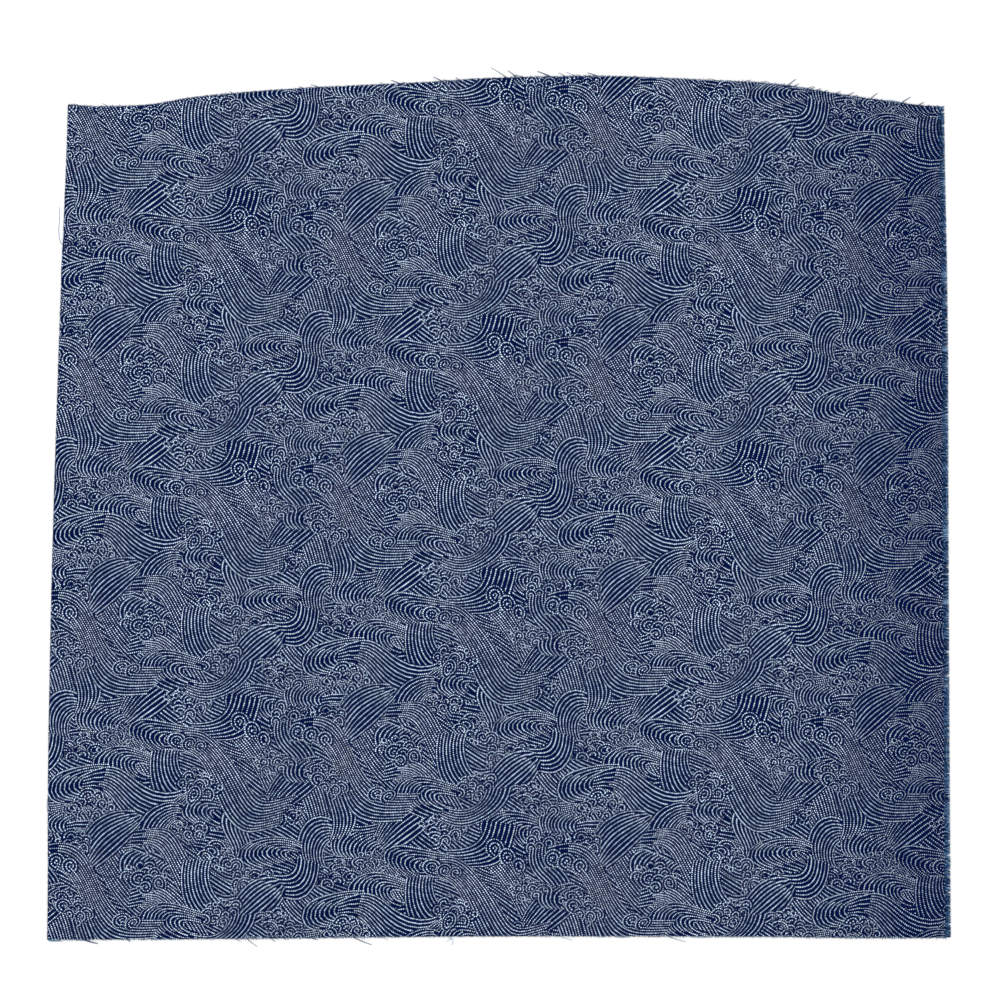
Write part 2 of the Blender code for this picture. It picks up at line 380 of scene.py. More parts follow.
def blank(outline):
    """Plain ground, with no lines."""

    def measure(corners, centres):
        none = np.zeros(corners.shape)
        return none, none, none + FAR_APART, none

    return Motif(outline, np.zeros(0, complex), measure)


def even_curve(handles):
    """Places at even steps along the smooth curve that a row of handles pulls into shape."""
    share = np.linspace(0, 1, CURVE_PIECES + 1)
    last = len(handles) - 1
    rough = sum(
        math.comb(last, k) * (1 - share) ** (last - k) * share**k * handle for k, handle in enumerate(handles)
    )
    length = np.concatenate([[0.0], np.cumsum(abs(np.diff(rough)))])
    return np.interp(share * length[-1], length, rough), length[-1]


def sheaf(first, last, gap):
    """Lines that change step by step from one curve into another.

    A place in it is q, the share of the way over from the first curve to the last, and w, the share of
    the way along them.
    """
    first, first_length = even_curve(first)
    last, last_length = even_curve(last)
    knots = len(first) - 1

    def along(curve, w):
        """The place on a curve, and the step along it there."""
        k = np.clip(np.floor(w * knots).astype(int), 0, knots - 1)
        step = (curve[k + 1] - curve[k]) * knots
        return curve[k] + step * (w - k / knots), step

    def place(q, w):
        """The place, the step over the lines and the step along them."""
        a, a_step = along(first, w)
        b, b_step = along(last, w)
        return a + q * (b - a), b - a, a_step + q * (b_step - a_step)

    # The number of lines follows from the width at nine places along the middle one.
    _, over, on = place(0.5, np.linspace(0.1, 0.9, 9))
    widths = abs(cross(on / abs(on), over))
    lines = max(1, round(max(widths.mean() / gap, widths.max() / (WIDEST * gap))))

    length = (first_length + last_length) / 2
    turning = abs(np.diff(np.unwrap(np.angle(np.diff(first))))).sum() + MORE_TURN
    step = fine_step(length / turning)
    along_steps = max(LEAST_ALONG, math.ceil(length / step))
    over_steps = max(LEAST_OVER, math.ceil(abs(over).max() / (step * OVER_STEP)))
    end = MARGIN / length
    w = np.linspace(-end, 1 + end, along_steps + 1)
    q = np.linspace(0, 1, over_steps + 1)
    rim = [
        place(0.0, w)[0],
        place(q, w[-1] + 0 * q)[0][1:],
        place(1.0, w[::-1])[0][1:],
        place(q[::-1], w[0] + 0 * q)[0][1:-1],
    ]
    grid_q, grid_w = (g.ravel() for g in np.meshgrid(q[1:-1], w[1:-1]))
    inside = place(grid_q, grid_w)[0] if len(grid_q) else np.zeros(0, complex)
    seed_grid = np.meshgrid(np.linspace(0, 1, SEEDS_OVER), np.linspace(0, 1, SEEDS_ALONG))
    seed_q, seed_w = (g.ravel() for g in seed_grid)
    seeds = place(seed_q, seed_w)[0]
    more_length = (last_length - first_length) / lines

    def measure(corners, centres):
        z = corners.ravel()
        near = np.empty(len(z), int)
        for k in range(0, len(z), SEARCH_BATCH):
            near[k : k + SEARCH_BATCH] = abs(z[k : k + SEARCH_BATCH, None] - seeds[None, :]).argmin(1)
        q, w = seed_q[near], seed_w[near]
        for _ in range(SEARCH_ROUNDS):
            at, over, on = place(q, w)
            miss = z - at
            area = cross(over, on)
            area = np.where(abs(area) < LEAST_AREA, np.copysign(LEAST_AREA, area), area)
            further = np.clip(cross(miss, on) / area, -STEP_OVER, STEP_OVER)
            q = np.clip(q + further, -PAST_OVER, 1 + PAST_OVER)
            further = np.clip(cross(over, miss) / area, -STEP_ALONG, STEP_ALONG)
            w = np.clip(w + further, -PAST_ALONG, 1 + PAST_ALONG)
        _, over, on = place(q, w)
        straight = on / np.maximum(abs(on), TINY)
        local_gap = np.maximum(abs(cross(straight, over)) / lines, LEAST_GAP)
        slide = (np.conj(straight) * over).real / np.maximum(abs(on), TINY) / lines
        long = first_length + more_length * q * lines
        shape = corners.shape
        return (
            (q * lines).reshape(shape),
            w.reshape(shape),
            local_gap.reshape(shape),
            (-slide * long).reshape(shape),
        )

    return [Motif(np.concatenate(rim), inside, measure, first_length, more_length)]


def nearer_turn(share, to):
    """The same share of a turn, within half a turn of another."""
    return share + np.round(to - share)


def rings(at, radius, facing, gap, span=180.0, drift=0.0, spiral=0, heart=None):
    """Arches or whole rings inside each other, whose middles drift the way that they face.

    span is how far they reach to either side, in degrees. spiral winds them into one line, one way
    or the other. heart is how far in from the outermost ring a plain middle starts.
    """
    way = turned(facing)
    shift = drift * way
    half = math.radians(span)
    whole = span >= 180.0

    def ring(inward):
        """Mesh corners on the ring that lies so far in from the outermost one."""
        size = max(radius - inward, LEAST_RADIUS)
        count = max(LEAST_CORNERS, math.ceil(2 * half * size / fine_step(size)))
        angle = np.linspace(-half, half, count + 1)
        if whole:
            angle = angle[:-1]
        return at + shift * inward + size * way * np.exp(1j * angle)

    outline = ring(0.0)
    if not whole:
        stop = radius - INNERMOST * gap
        inner = ring(stop)[::-1]
        side = np.linspace(0, stop, max(2, math.ceil(stop / END_STEP)) + 1)[1:-1]
        edge_a = at + shift * side + (radius - side) * way * np.exp(1j * half)
        edge_b = at + shift * side + (radius - side) * way * np.exp(-1j * half)
        outline = np.concatenate([outline, edge_a, inner, edge_b[::-1]])
    inside = []
    inward = fine_step(radius)
    while inward < min(heart or radius, radius - PLAIN_MIDDLE):
        points = ring(inward)
        inside.append(points if whole else points[1:-1])
        inward += fine_step(radius - inward)
    if whole and not heart:
        inside.append(np.array([at + shift * radius]))
    inside = np.concatenate(inside) if inside else np.zeros(0, complex)
    # The faces at a whole ring's seam count on past it, so its lines are taken as three turns long.
    turns = 3.0 if whole else 1.0

    def measure(corners, centres):
        def arch(z):
            """How far in from the outermost ring a place lies, its share of the span, and the way out."""
            local = z - at
            reach = radius - (local * np.conj(shift)).real
            under = reach**2 - (1 - drift**2) * (radius**2 - abs(local) ** 2)
            inward = (reach - np.sqrt(np.maximum(under, 0.0))) / (1 - drift**2)
            out = (local - shift * inward) / way
            share = np.angle(out) / (2 * half)
            return inward, share, out

        inward, share, out = arch(corners)
        if whole:
            share = nearer_turn(share, arch(centres)[1][:, None])
        facing_out = out / np.maximum(abs(out), TINY)
        local_gap = gap * (1 - drift * facing_out.real)
        share_along = 0.5 + share / turns
        count = inward / gap
        if spiral:
            count = count + spiral * share
        return count, share_along, np.maximum(local_gap, LEAST_GAP), np.zeros(corners.shape)

    angle_drawn = 2 * half * turns
    outer = Motif(outline, inside, measure, angle_drawn * (radius - gap / 2), -angle_drawn * gap)
    if heart:
        return [outer, blank(ring(heart))]
    return [outer]


def bubble(at):
    """One ring of dots round a plain middle."""
    gap = BUBBLE * BUBBLE_LINE
    return rings(at, BUBBLE, 0.0, gap, heart=gap)


def curl(at, radius, facing, hand):
    """A small spiral of foam."""
    return rings(at, radius, facing, FOAM_LINE, spiral=hand)


def foam(across, up, length, height, turn, seed):
    """A patch of small hooks, arches, curls and bubbles, the lower ones over the upper."""
    rng = random.Random(seed)
    at = complex(across, up)
    half_x, half_y = length / 2, height / 2
    way = turned(turn)
    spots = []
    row = half_y - FOAM_RIM
    odd = False
    while row > -half_y:
        reach = half_x * math.sqrt(max(1 - (row / half_y) ** 2, 0.0))
        x = -reach + (FOAM_PITCH / 2 if odd else 0.0)
        while x <= reach:
            off = complex(x + rng.uniform(-ASIDE, ASIDE), row + rng.uniform(-UPWARD, UPWARD))
            spots.append(at + way * off)
            x += FOAM_PITCH
        row -= FOAM_PITCH * FOAM_ROWS
        odd = not odd
    lean = rng.uniform(-FOAM_LEAN, FOAM_LEAN)
    made = []
    for place in sorted(spots, key=lambda z: -z.imag):
        facing = 90.0 + lean + rng.uniform(-CURL_LEAN, CURL_LEAN)
        radius = rng.uniform(*FOAM_RADII)
        pick = rng.random()
        hand = rng.choice((-1, 1))
        if pick < ARCHES:
            made += rings(
                place, radius, facing,
                span=rng.uniform(*ARCH_SPANS), drift=rng.uniform(*ARCH_DRIFTS), gap=rng.uniform(*ARCH_GAPS),
            )
        elif pick < HOOKS:
            span = rng.uniform(*HOOK_SPANS)
            made += rings(place, radius * HOOK_SIZE, facing, FOAM_LINE, span, spiral=hand)
        elif pick < CURLS:
            made += curl(place, radius * CURL_SIZE, rng.uniform(0, 360), hand)
        else:
            made += bubble(place)
    for _ in range(RIM_BUBBLES):
        at_rim = rng.uniform(0, 2 * math.pi)
        out = complex(half_x * math.cos(at_rim), half_y * math.sin(at_rim))
        made += bubble(at + way * BUBBLE_RIM * out)
    return made


def breakers(across, up, turn, radius, count):
    """A row of rolled wave heads, each a slightly smaller hook over the one before it."""
    made = []
    for k in range(count):
        at = complex(across, up) + turned(turn) * (k * radius * BREAKER_STEP)
        smaller = radius * (1 - BREAKER_LESS * k)
        made += rings(at, smaller, turn + BREAKER_FACING, FOAM_LINE, BREAKER_SPAN, spiral=1)
    return made


# Families of lines, as handles of their first and last curves, in shares of the motif's length.
KINDS = {
    # A long band that runs level, plunges and levels out.
    "swell": (
        (-0.50 + 0.15j, 0.02 + 0.42j, 0.00 - 0.40j, 0.50 - 0.10j),
        (-0.50 + 0.00j, -0.10 + 0.14j, -0.10 - 0.62j, 0.46 - 0.34j),
    ),
    # A band that starts as a tight bundle and opens out.
    "flare": (
        (-0.50 + 0.08j, -0.10 + 0.34j, 0.15 - 0.02j, 0.50 + 0.14j),
        (-0.50 - 0.08j, -0.16 - 0.02j, 0.02 - 0.42j, 0.44 - 0.26j),
    ),
    # A breaker: curves that open one way and gather at its lip.
    "crest": (
        (0.16 - 0.44j, -0.66 - 0.46j, -0.60 + 0.46j, 0.46 + 0.34j),
        (0.50 - 0.08j, 0.24 - 0.08j, 0.24 + 0.12j, 0.48 + 0.10j),
    ),
    # A scythe: curves that gather at a point and sweep up from it.
    "scythe": (
        (-0.50 - 0.16j, -0.05 - 0.34j, 0.50 - 0.25j, 0.48 + 0.42j),
        (-0.44 + 0.04j, -0.10 + 0.02j, 0.10 + 0.08j, 0.08 + 0.38j),
    ),
    # Lines that rise from a stem and curl over.
    "hook": (
        (-0.14 - 0.50j, -0.50 + 0.15j, -0.10 + 0.68j, 0.46 + 0.34j),
        (0.30 - 0.50j, 0.12 - 0.25j, 0.20 + 0.12j, 0.42 + 0.08j),
    ),
    # Lines between two points.
    "leaf": (
        (-0.50 + 0.04j, -0.28 + 0.38j, 0.22 + 0.42j, 0.50 + 0.18j),
        (-0.46 - 0.20j, -0.12 - 0.28j, 0.28 - 0.22j, 0.54 - 0.02j),
    ),
    # A row of short ribs.
    "comb": (
        (-0.46 + 0.30j, -0.66 + 0.12j, -0.64 - 0.14j, -0.40 - 0.28j),
        (0.44 + 0.20j, 0.28 + 0.08j, 0.30 - 0.10j, 0.50 - 0.20j),
    ),
    # A column of lines that sway one way and back.
    "vase": (
        (-0.22 + 0.50j, -0.44 + 0.10j, 0.10 - 0.06j, -0.16 - 0.50j),
        (0.22 + 0.46j, 0.08 + 0.10j, 0.56 - 0.10j, 0.20 - 0.50j),
    ),
}


def motif(kind, across, up, size, turn, gap, squash=1.0, flip=False):
    """One of the kinds of line family, placed in the repeat: its size in millimetres, turned by degrees.

    squash narrows it, and flip mirrors it.
    """
    rows = []
    for row in KINDS[kind]:
        handles = [complex(h.real, h.imag * squash * (-1 if flip else 1)) for h in row]
        rows.append([complex(across, up) + size * turned(turn) * h for h in handles])
    return sheaf(rows[0], rows[1], gap)


def sway(z):
    """How far the whole drawing leans aside at each place, the same in every repeat."""
    x = 2 * math.pi * z.real / ACROSS
    y = 2 * math.pi * (z.imag / UP - z.real / ACROSS / 2)
    aside = SWAY * np.sin(2 * y + x) + RIPPLE * np.sin(3 * x - y + 1.0)
    upward = SWAY * np.sin(2 * x - y + 2.0) + RIPPLE * np.sin(3 * y + 2 * x)
    return aside + 1j * upward


def unswayed(z):
    """The places that sway to these."""
    found = z
    for _ in range(UNSWAY_ROUNDS):
        found = z - sway(found)
    return found


def inside_of(outline, places):
    """Whether each place lies in a closed outline."""
    x, y = places.real, places.imag
    x0, y0 = outline.real, outline.imag
    near = np.flatnonzero((x > x0.min()) & (x < x0.max()) & (y > y0.min()) & (y < y0.max()))
    found = np.zeros(len(places), bool)
    if not len(near):
        return found
    x, y = x[near][:, None], y[near][:, None]
    x1, y1 = np.roll(x0, -1), np.roll(y0, -1)
    crosses = (y0 > y) != (y1 > y)
    rise = np.where(y1 == y0, 1.0, y1 - y0)
    found[near] = (crosses & (x < x0 + (y - y0) * (x1 - x0) / rise)).sum(1) % 2 == 1
    return found


def wave_repeat():
    """The motifs of one repeat, from the back to the front."""
    motifs = []
    for group in (
        # behind
        motif("swell", 22, 146, 92, -14, 1.75),
        motif("swell", 100, 150, 88, -16, 1.75),
        motif("swell", 138, 116, 88, -14, 1.7),
        motif("swell", 60, 112, 92, -12, 1.75),
        motif("swell", 18, 84, 88, -18, 1.75),
        motif("swell", 100, 76, 92, -12, 1.7),
        motif("swell", 54, 44, 92, -16, 1.75),
        motif("swell", 136, 42, 90, -16, 1.7),
        motif("swell", 92, 10, 92, -12, 1.75),
        motif("swell", 14, 14, 88, -14, 1.7),
        # row by row
        motif("leaf", 64, 146, 44, 30, 2.00),
        motif("crest", 128, 144, 44, -12, 2.05, 0.75),
        motif("hook", 8, 136, 38, 4, 2.00),
        foam(88, 144, 26, 14, -20, 8),
        foam(150, 138, 22, 12, 10, 12),
        motif("comb", 36, 134, 30, -28, 2.00),
        motif("scythe", 108, 130, 44, -8, 2.00),
        motif("crest", 68, 126, 44, -14, 2.05, 0.7),
        motif("vase", 150, 118, 34, 10, 2.15),
        foam(20, 118, 28, 14, 10, 1),
        foam(44, 122, 20, 11, -30, 13),
        motif("crest", 42, 106, 42, -8, 2.05, 0.75),
        motif("leaf", 150, 92, 44, 34, 2.00),
        motif("hook", 72, 98, 38, 8, 2.00, 1.0, True),
        motif("crest", 14, 96, 42, -4, 2.05, 0.7),
        motif("flare", 50, 90, 60, -12, 1.75),
        foam(28, 80, 26, 14, -10, 3),
        motif("crest", 88, 80, 44, -12, 2.05, 0.7),
        motif("comb", 4, 72, 28, -20, 2.00),
        motif("hook", 66, 70, 36, 0, 2.00),
        foam(138, 78, 28, 15, -15, 5),
        motif("leaf", 40, 62, 44, 36, 2.00),
        motif("vase", 116, 64, 34, 6, 2.15),
        foam(86, 64, 24, 12, 15, 15),
        motif("crest", 134, 52, 44, -10, 2.05, 0.75),
        foam(16, 54, 26, 14, 10, 4),
        motif("swell", 88, 48, 74, -16, 1.75),
        foam(108, 50, 22, 12, -20, 17),
        motif("comb", 62, 42, 30, -24, 2.00),
        motif("scythe", 146, 34, 42, -10, 2.00),
        motif("hook", 92, 28, 38, 6, 2.00, 1.0, True),
        foam(124, 34, 24, 13, 10, 18),
        motif("leaf", 124, 18, 42, 32, 2.00),
        foam(104, 18, 24, 13, 10, 7),
        motif("comb", 4, 22, 30, -18, 2.00),
        motif("crest", 70, 12, 44, -10, 2.05, 0.75),
        motif("vase", 22, 4, 34, 8, 2.15),
        foam(142, 8, 28, 15, -20, 9),
        motif("scythe", 104, 0, 42, -10, 2.00),
        # over the rest
        motif("swell", 112, 106, 84, -16, 1.75),
        motif("swell", 34, 32, 84, -18, 1.75),
        foam(136, 110, 24, 13, -20, 2),
        foam(92, 92, 26, 13, -24, 14),
        foam(60, 38, 24, 13, -20, 6),
        foam(14, 18, 26, 13, -24, 19),
        breakers(80, 124, -24, 6.0, 3),
        breakers(0, 50, -24, 6.0, 3),
        breakers(120, 132, -30, 5.8, 3),
        breakers(44, 12, -28, 5.8, 2),
    ):
        motifs += group
    return motifs


def sea(corners):
    """The plain slanting lines behind every motif: their number, share, gap and slide."""
    x, y = corners.real, corners.imag
    per_up = SEA_UP / UP
    per_across = (SEA_ASIDE - SEA_UP / 2) / ACROSS
    slope = math.hypot(per_across, per_up)
    count = per_across * x + per_up * y
    along = 0.5 + (per_up * x - per_across * y) / slope / SEA_LENGTH
    return count, along, np.full(corners.shape, 1 / slope), np.zeros(corners.shape)


def repeat_at(column, row):
    """How far a copy of the repeat lies from the first one."""
    return column * ACROSS + 1j * (row * UP + (column % 2) * UP / 2)


class Print:
    """The repeat laid over the cloth, with every second column half a repeat higher."""

    def __init__(self):
        self.motifs = wave_repeat()
        self.boxes = np.array([
            (m.outline.real.min(), m.outline.real.max(), m.outline.imag.min(), m.outline.imag.max())
            for m in self.motifs
        ])

    def hidden(self, index, places):
        """Whether each place in a motif lies under a later one, or under a later copy of its own."""
        covered = np.zeros(len(places), bool)
        if not len(places):
            return covered
        low_x, high_x = places.real.min(), places.real.max()
        low_y, high_y = places.imag.min(), places.imag.max()
        for column in range(-NEAR, NEAR + 1):
            for row in range(-NEAR, NEAR + 1):
                shift = repeat_at(column, row)
                box = self.boxes + np.array([shift.real, shift.real, shift.imag, shift.imag])
                meets_across = (box[:, 0] < high_x) & (box[:, 1] > low_x)
                meets_up = (box[:, 2] < high_y) & (box[:, 3] > low_y)
                for other in np.flatnonzero(meets_across & meets_up):
                    if other > index or (other == index and (column, row) > (0, 0)):
                        covered |= inside_of(self.motifs[other].outline + shift, places)
        return covered

    def drawn(self, reach):
        """Points and edges that a cloth's mesh follows: each motif's outline where it shows."""
        parts = []
        for index, motif in enumerate(self.motifs):
            seen = ~self.hidden(index, motif.outline)
            after = np.roll(np.arange(len(seen)), -1)
            kept = np.flatnonzero(seen | seen[after])
            used = np.unique(np.concatenate([kept, after[kept]]))
            place = np.full(len(seen), -1)
            place[used] = np.arange(len(used))
            inside = motif.inside[~self.hidden(index, motif.inside)]
            local = np.concatenate([motif.outline[used], inside])
            if len(local):
                parts.append((local, np.stack([place[kept], place[after[kept]]], -1)))
        steps_x, steps_y = round(ACROSS / SEA_STEP), round(UP / SEA_STEP)
        x, y = np.meshgrid(np.arange(steps_x) * ACROSS / steps_x, np.arange(steps_y) * UP / steps_y)
        open_sea = (x + 1j * y).ravel()
        open_sea = open_sea[~self.hidden(-1, open_sea)]
        parts.append((open_sea, np.zeros((0, 2), int)))
        copies = [
            repeat_at(column, row)
            for column in range(-1, math.ceil(reach.real / ACROSS) + 1)
            for row in range(-2, math.ceil(reach.imag / UP) + 2)
        ]
        points, edges, base = [], [], 0
        for local, pairs in parts:
            for copy in copies:
                moved = local + copy
                if moved.real.max() < -SPARE or moved.real.min() > reach.real + SPARE:
                    continue
                if moved.imag.max() < -SPARE or moved.imag.min() > reach.imag + SPARE:
                    continue
                points.append(moved)
                edges.append(pairs + base)
                base += len(moved)
        return np.concatenate(points), np.concatenate(edges)

    def owners(self, centres):
        """The motif that shows at each place, or -1 for the sea, and how far its copy is shifted."""
        column = np.floor(centres.real / ACROSS)
        row = np.floor((centres.imag - (column % 2) * UP / 2) / UP)
        home = repeat_at(column, row)
        local = centres - home
        owner = np.full(len(centres), -1)
        shift = home.copy()
        left = np.arange(len(centres))
        for index in range(len(self.motifs) - 1, -1, -1):
            low_x, high_x, low_y, high_y = self.boxes[index]
            for column in range(NEAR, -NEAR - 1, -1):
                for row in range(NEAR, -NEAR - 1, -1):
                    by = repeat_at(column, row)
                    if high_x + by.real < 0 or low_x + by.real > ACROSS:
                        continue
                    if high_y + by.imag < 0 or low_y + by.imag > UP:
                        continue
                    found = inside_of(self.motifs[index].outline + by, local[left])
                    owner[left[found]] = index
                    shift[left[found]] += by
                    left = left[~found]
        return owner, shift


# Materials

# The printed dots, in millimetres.
SOFT_RIM = 0.12                # how far a dot's rim fades
DOT_SPREAD, LINE_SPREAD = 0.18, 0.08       # how much the radius varies from dot to dot and from line to line
CROWDED = (1.20, 0.25)         # gap below which every second line stops, and how much more it may be
PACKED = (0.55, 0.2)           # gap below which three lines in four stop, and how much more it may be
DOT_SEED, LINE_SEED = 7.31, 1.37           # set the random numbers of two lines apart

# The cloth's patterns, in millimetres.
THREAD_GAP = 10 / 26           # between two threads of the weave, at 26 in a centimetre: about 0.38
COARSER = 4                    # they are too fine to show, so their streaks are drawn so many times as wide
STREAK = 50 / 3                # length of such a streak, about 17
PATCH = 500 / 7                # size of a patch where the print lies thicker or thinner, about 71
SLUB = 10 / 9                  # size of a slub on the back, about 1.1

GROUND_WEAVE_SHADING = (0.4, 1.6)     # the dye's colour in the weave's hollows and on its tops: the threads' own streaky tone, with painted shade in the hollows and painted light on the tops
REVERSE_SHADES = (0.8, 1.2)    # darkest and lightest tone of the back, from slub to slub
WEAVE_COVER = (0.70, 0.5)      # share of the print that the hollows take, and how much more the tops do
PATCH_COVER = (0.85, 0.3)      # the same for its barest and its fullest patches
RIGHT_DARKENING = (0.165, 0.275)      # how far right of the origin less and less of the print shows, so the cloth gets darker there, m
LEAST_RIGHT_COVER = 0.56                # share of it that is left there
COTTON_ROUGHNESS = 0.95
PRINT_SHINE, THREAD_SHINE = 0.02, 0.1      # how much of the usual share of light their surfaces throw back
TOOTH, TOOTH_HEIGHT = 0.35, 0.0002         # strength of the weave's relief, and its height, m

# A Mix node's sockets for two colours and their mixture, which share their names with others.
ONE_COLOUR, OTHER_COLOUR, MIXTURE = 6, 7, 2


def feed(node, inputs):
    """Give a node's inputs values, or the sockets that feed them, in order or by name."""
    pairs = inputs.items() if isinstance(inputs, dict) else enumerate(inputs)
    for key, value in pairs:
        if isinstance(value, bpy.types.NodeSocket):
            node.id_data.links.new(value, node.inputs[key])
        else:
            node.inputs[key].default_value = value


def add_node(tree, kind, inputs=(), output=0, **settings):
    """An output of a new node, by its number or name, with its settings made and its inputs fed."""
    node = tree.nodes.new("ShaderNode" + kind)
    for name, value in settings.items():
        setattr(node, name, value)
    feed(node, inputs)
    return node.outputs[output]


def split(tree, name):
    """The three numbers of a mesh attribute."""
    vector = add_node(tree, "Attribute", output="Vector", attribute_name=name)
    return add_node(tree, "SeparateXYZ", (vector,)).node.outputs


def from_middle(tree, value):
    """How far a number is from the middle between two whole numbers."""
    share = add_node(tree, "Math", (value,), operation="FRACT")
    return add_node(tree, "Math", (share, 0.5), operation="SUBTRACT")


def texture_scale(size):
    """The scale that gives a texture's features a size in millimetres."""
    return 1 / (size * MM)


def new_material(name):
    """An empty material with its Principled BSDF."""
    material = bpy.data.materials.new(name)
    material.use_nodes = True
    return material, material.node_tree, material.node_tree.nodes["Principled BSDF"]


def shade(colour, by):
    """A colour made lighter or darker."""
    return tuple(min(by * c, 1.0) for c in colour) + (1.0,)


def drawn_ink(tree, settings):
    """How much of the print's paste lies at each place: round dots along the motifs' lines."""
    add = partial(add_node, tree)
    dot_gap = settings.bead_gap / MM
    count, along, gap = split(tree, "print_line")
    first, more, slide = split(tree, "print_length")
    number = add("Math", (count,), operation="FLOOR")
    line = add("Math", (number, LINES_APART), operation="MODULO")
    line = add("Math", (line, LINES_BEFORE), operation="SUBTRACT")
    length = add("Math", (line, more, first), operation="MULTIPLY_ADD")
    per_line = add("Math", (length, dot_gap), operation="DIVIDE")

    # The dots are counted along the line, and slide on towards where the next line has its own.
    off_line = from_middle(tree, count)
    start = add("TexWhiteNoise", {"W": number}, noise_dimensions="1D")
    bead = add("Math", (along, per_line, start), operation="MULTIPLY_ADD")
    slid = add("Math", (slide, off_line), operation="MULTIPLY")
    bead = add("Math", (slid, -1 / dot_gap, bead), operation="MULTIPLY_ADD")
    off_bead = from_middle(tree, bead)
    bead = add("Math", (bead,), operation="FLOOR")

    # Distance from the middle of the dot.
    across = add("Math", (off_line, gap), operation="MULTIPLY")
    onward = add("Math", (off_bead, dot_gap), operation="MULTIPLY")
    across = add("Math", (across, 2.0), operation="POWER")
    onward = add("Math", (onward, 2.0), operation="POWER")
    away = add("Math", (across, onward), operation="ADD")
    away = add("Math", (away,), operation="SQRT")

    # Its radius is a little more or less than the usual one, and so is its line's.
    dot_seed = add("Math", (number, DOT_SEED, bead), operation="MULTIPLY_ADD")
    uneven = add("TexWhiteNoise", {"W": dot_seed}, noise_dimensions="1D")
    least = settings.bead_size / MM / 2 - (DOT_SPREAD + LINE_SPREAD) / 2
    radius = add("Math", (uneven, DOT_SPREAD, least), operation="MULTIPLY_ADD")
    line_seed = add("Math", (number, LINE_SEED), operation="MULTIPLY")
    uneven = add("TexWhiteNoise", {"W": line_seed}, noise_dimensions="1D")
    radius = add("Math", (uneven, LINE_SPREAD, radius), operation="MULTIPLY_ADD")
    outside = add("Math", (away, radius), operation="SUBTRACT")
    dot = add("MapRange", (outside, -SOFT_RIM, SOFT_RIM, 1.0, 0.0), interpolation_type="SMOOTHSTEP")

    # Some lines stop where they would crowd.
    crowd_seed = add("Math", (number, 0.5), operation="ADD")
    crowd = add("TexWhiteNoise", {"W": crowd_seed}, noise_dimensions="1D")
    stops = []
    for every, (least_gap, more_gap) in ((2.0, CROWDED), (4.0, PACKED)):
        turn = add("Math", (number, every), operation="MODULO")
        turn = add("Math", (turn, 0.5), operation="GREATER_THAN")
        needed = add("Math", (crowd, more_gap, least_gap), operation="MULTIPLY_ADD")
        crowded = add("Math", (gap, needed), operation="LESS_THAN")
        stops.append(add("Math", (turn, crowded), operation="MULTIPLY"))
    stops = add("Math", stops, operation="MAXIMUM")
    goes_on = add("Math", (1.0, stops), operation="SUBTRACT")

    # A line's dots keep within its length.
    begun = add("Math", (bead, -0.5), operation="GREATER_THAN")
    last = add("Math", (per_line, start), operation="ADD")
    within = add("Math", (bead, last), operation="LESS_THAN")
    within = add("Math", (begun, within), operation="MULTIPLY")
    kept = add("Math", (within, goes_on), operation="MULTIPLY")
    return add("Math", (dot, kept), operation="MULTIPLY")


def printed_cotton(settings):
    """Quilting cotton in plain weave, piece dyed indigo, with a pale print of dots on its face.

    The eye gets a matt cloth with a soft tooth; the dots sit in the weave, so their edges break up a little.
    """
    material, tree, shader = new_material("printed_plain_weave_cotton")
    add = partial(add_node, tree)
    ink = drawn_ink(tree, settings)
    place = add("TexCoord", output="Object")

    # Streaks along the warp and along the weft.
    fine, long = texture_scale(THREAD_GAP * COARSER), texture_scale(STREAK)
    warp = add("Mapping", {"Vector": place, "Scale": (fine, long, 1.0)})
    weft = add("Mapping", {"Vector": place, "Scale": (long, fine, 1.0)})
    warp = add("TexNoise", {"Vector": warp, "Scale": 1.0})
    weft = add("TexNoise", {"Vector": weft, "Scale": 1.0})
    weave = add("Math", (warp, weft), operation="ADD")
    weave = add("Math", (weave, 0.5), operation="MULTIPLY")
    patchy = add("TexNoise", {"Vector": place, "Scale": texture_scale(PATCH), "Detail": 3.0})

    # The print takes less in the hollows of the weave and in some patches.
    cover = ink
    for pattern, (least, more) in ((weave, WEAVE_COVER), (patchy, PATCH_COVER)):
        taken = add("Math", (pattern, more, least), operation="MULTIPLY_ADD")
        cover = add("Math", (cover, taken), operation="MULTIPLY")

    # Less of the print shows towards the fringed edge, so the cloth is darker there.
    east = add("SeparateXYZ", (place,))
    darker_right = add("MapRange", (east, *RIGHT_DARKENING, 1.0, LEAST_RIGHT_COVER), interpolation_type="SMOOTHSTEP")
    cover = add("Math", (cover, darker_right), operation="MULTIPLY")
    cover = add("Math", (cover, 1.0), operation="MINIMUM")

    # The ground follows the weave's streaks: partly the threads' own tone, partly painted shade in the
    # hollows and painted light on the tops.
    dark, light = (shade(settings.ground, by) for by in GROUND_WEAVE_SHADING)
    ground = add("Mix", {0: weave, ONE_COLOUR: dark, OTHER_COLOUR: light}, MIXTURE, data_type="RGBA")
    paste = (*settings.paste, 1.0)
    colour = add("Mix", {0: cover, ONE_COLOUR: ground, OTHER_COLOUR: paste}, MIXTURE, data_type="RGBA")
    relief = add("Bump", {"Strength": TOOTH, "Distance": TOOTH_HEIGHT, "Height": weave})
    look = {"Base Color": colour, "Roughness": COTTON_ROUGHNESS, "Specular IOR Level": PRINT_SHINE}
    feed(shader, {**look, "Normal": relief})
    return material


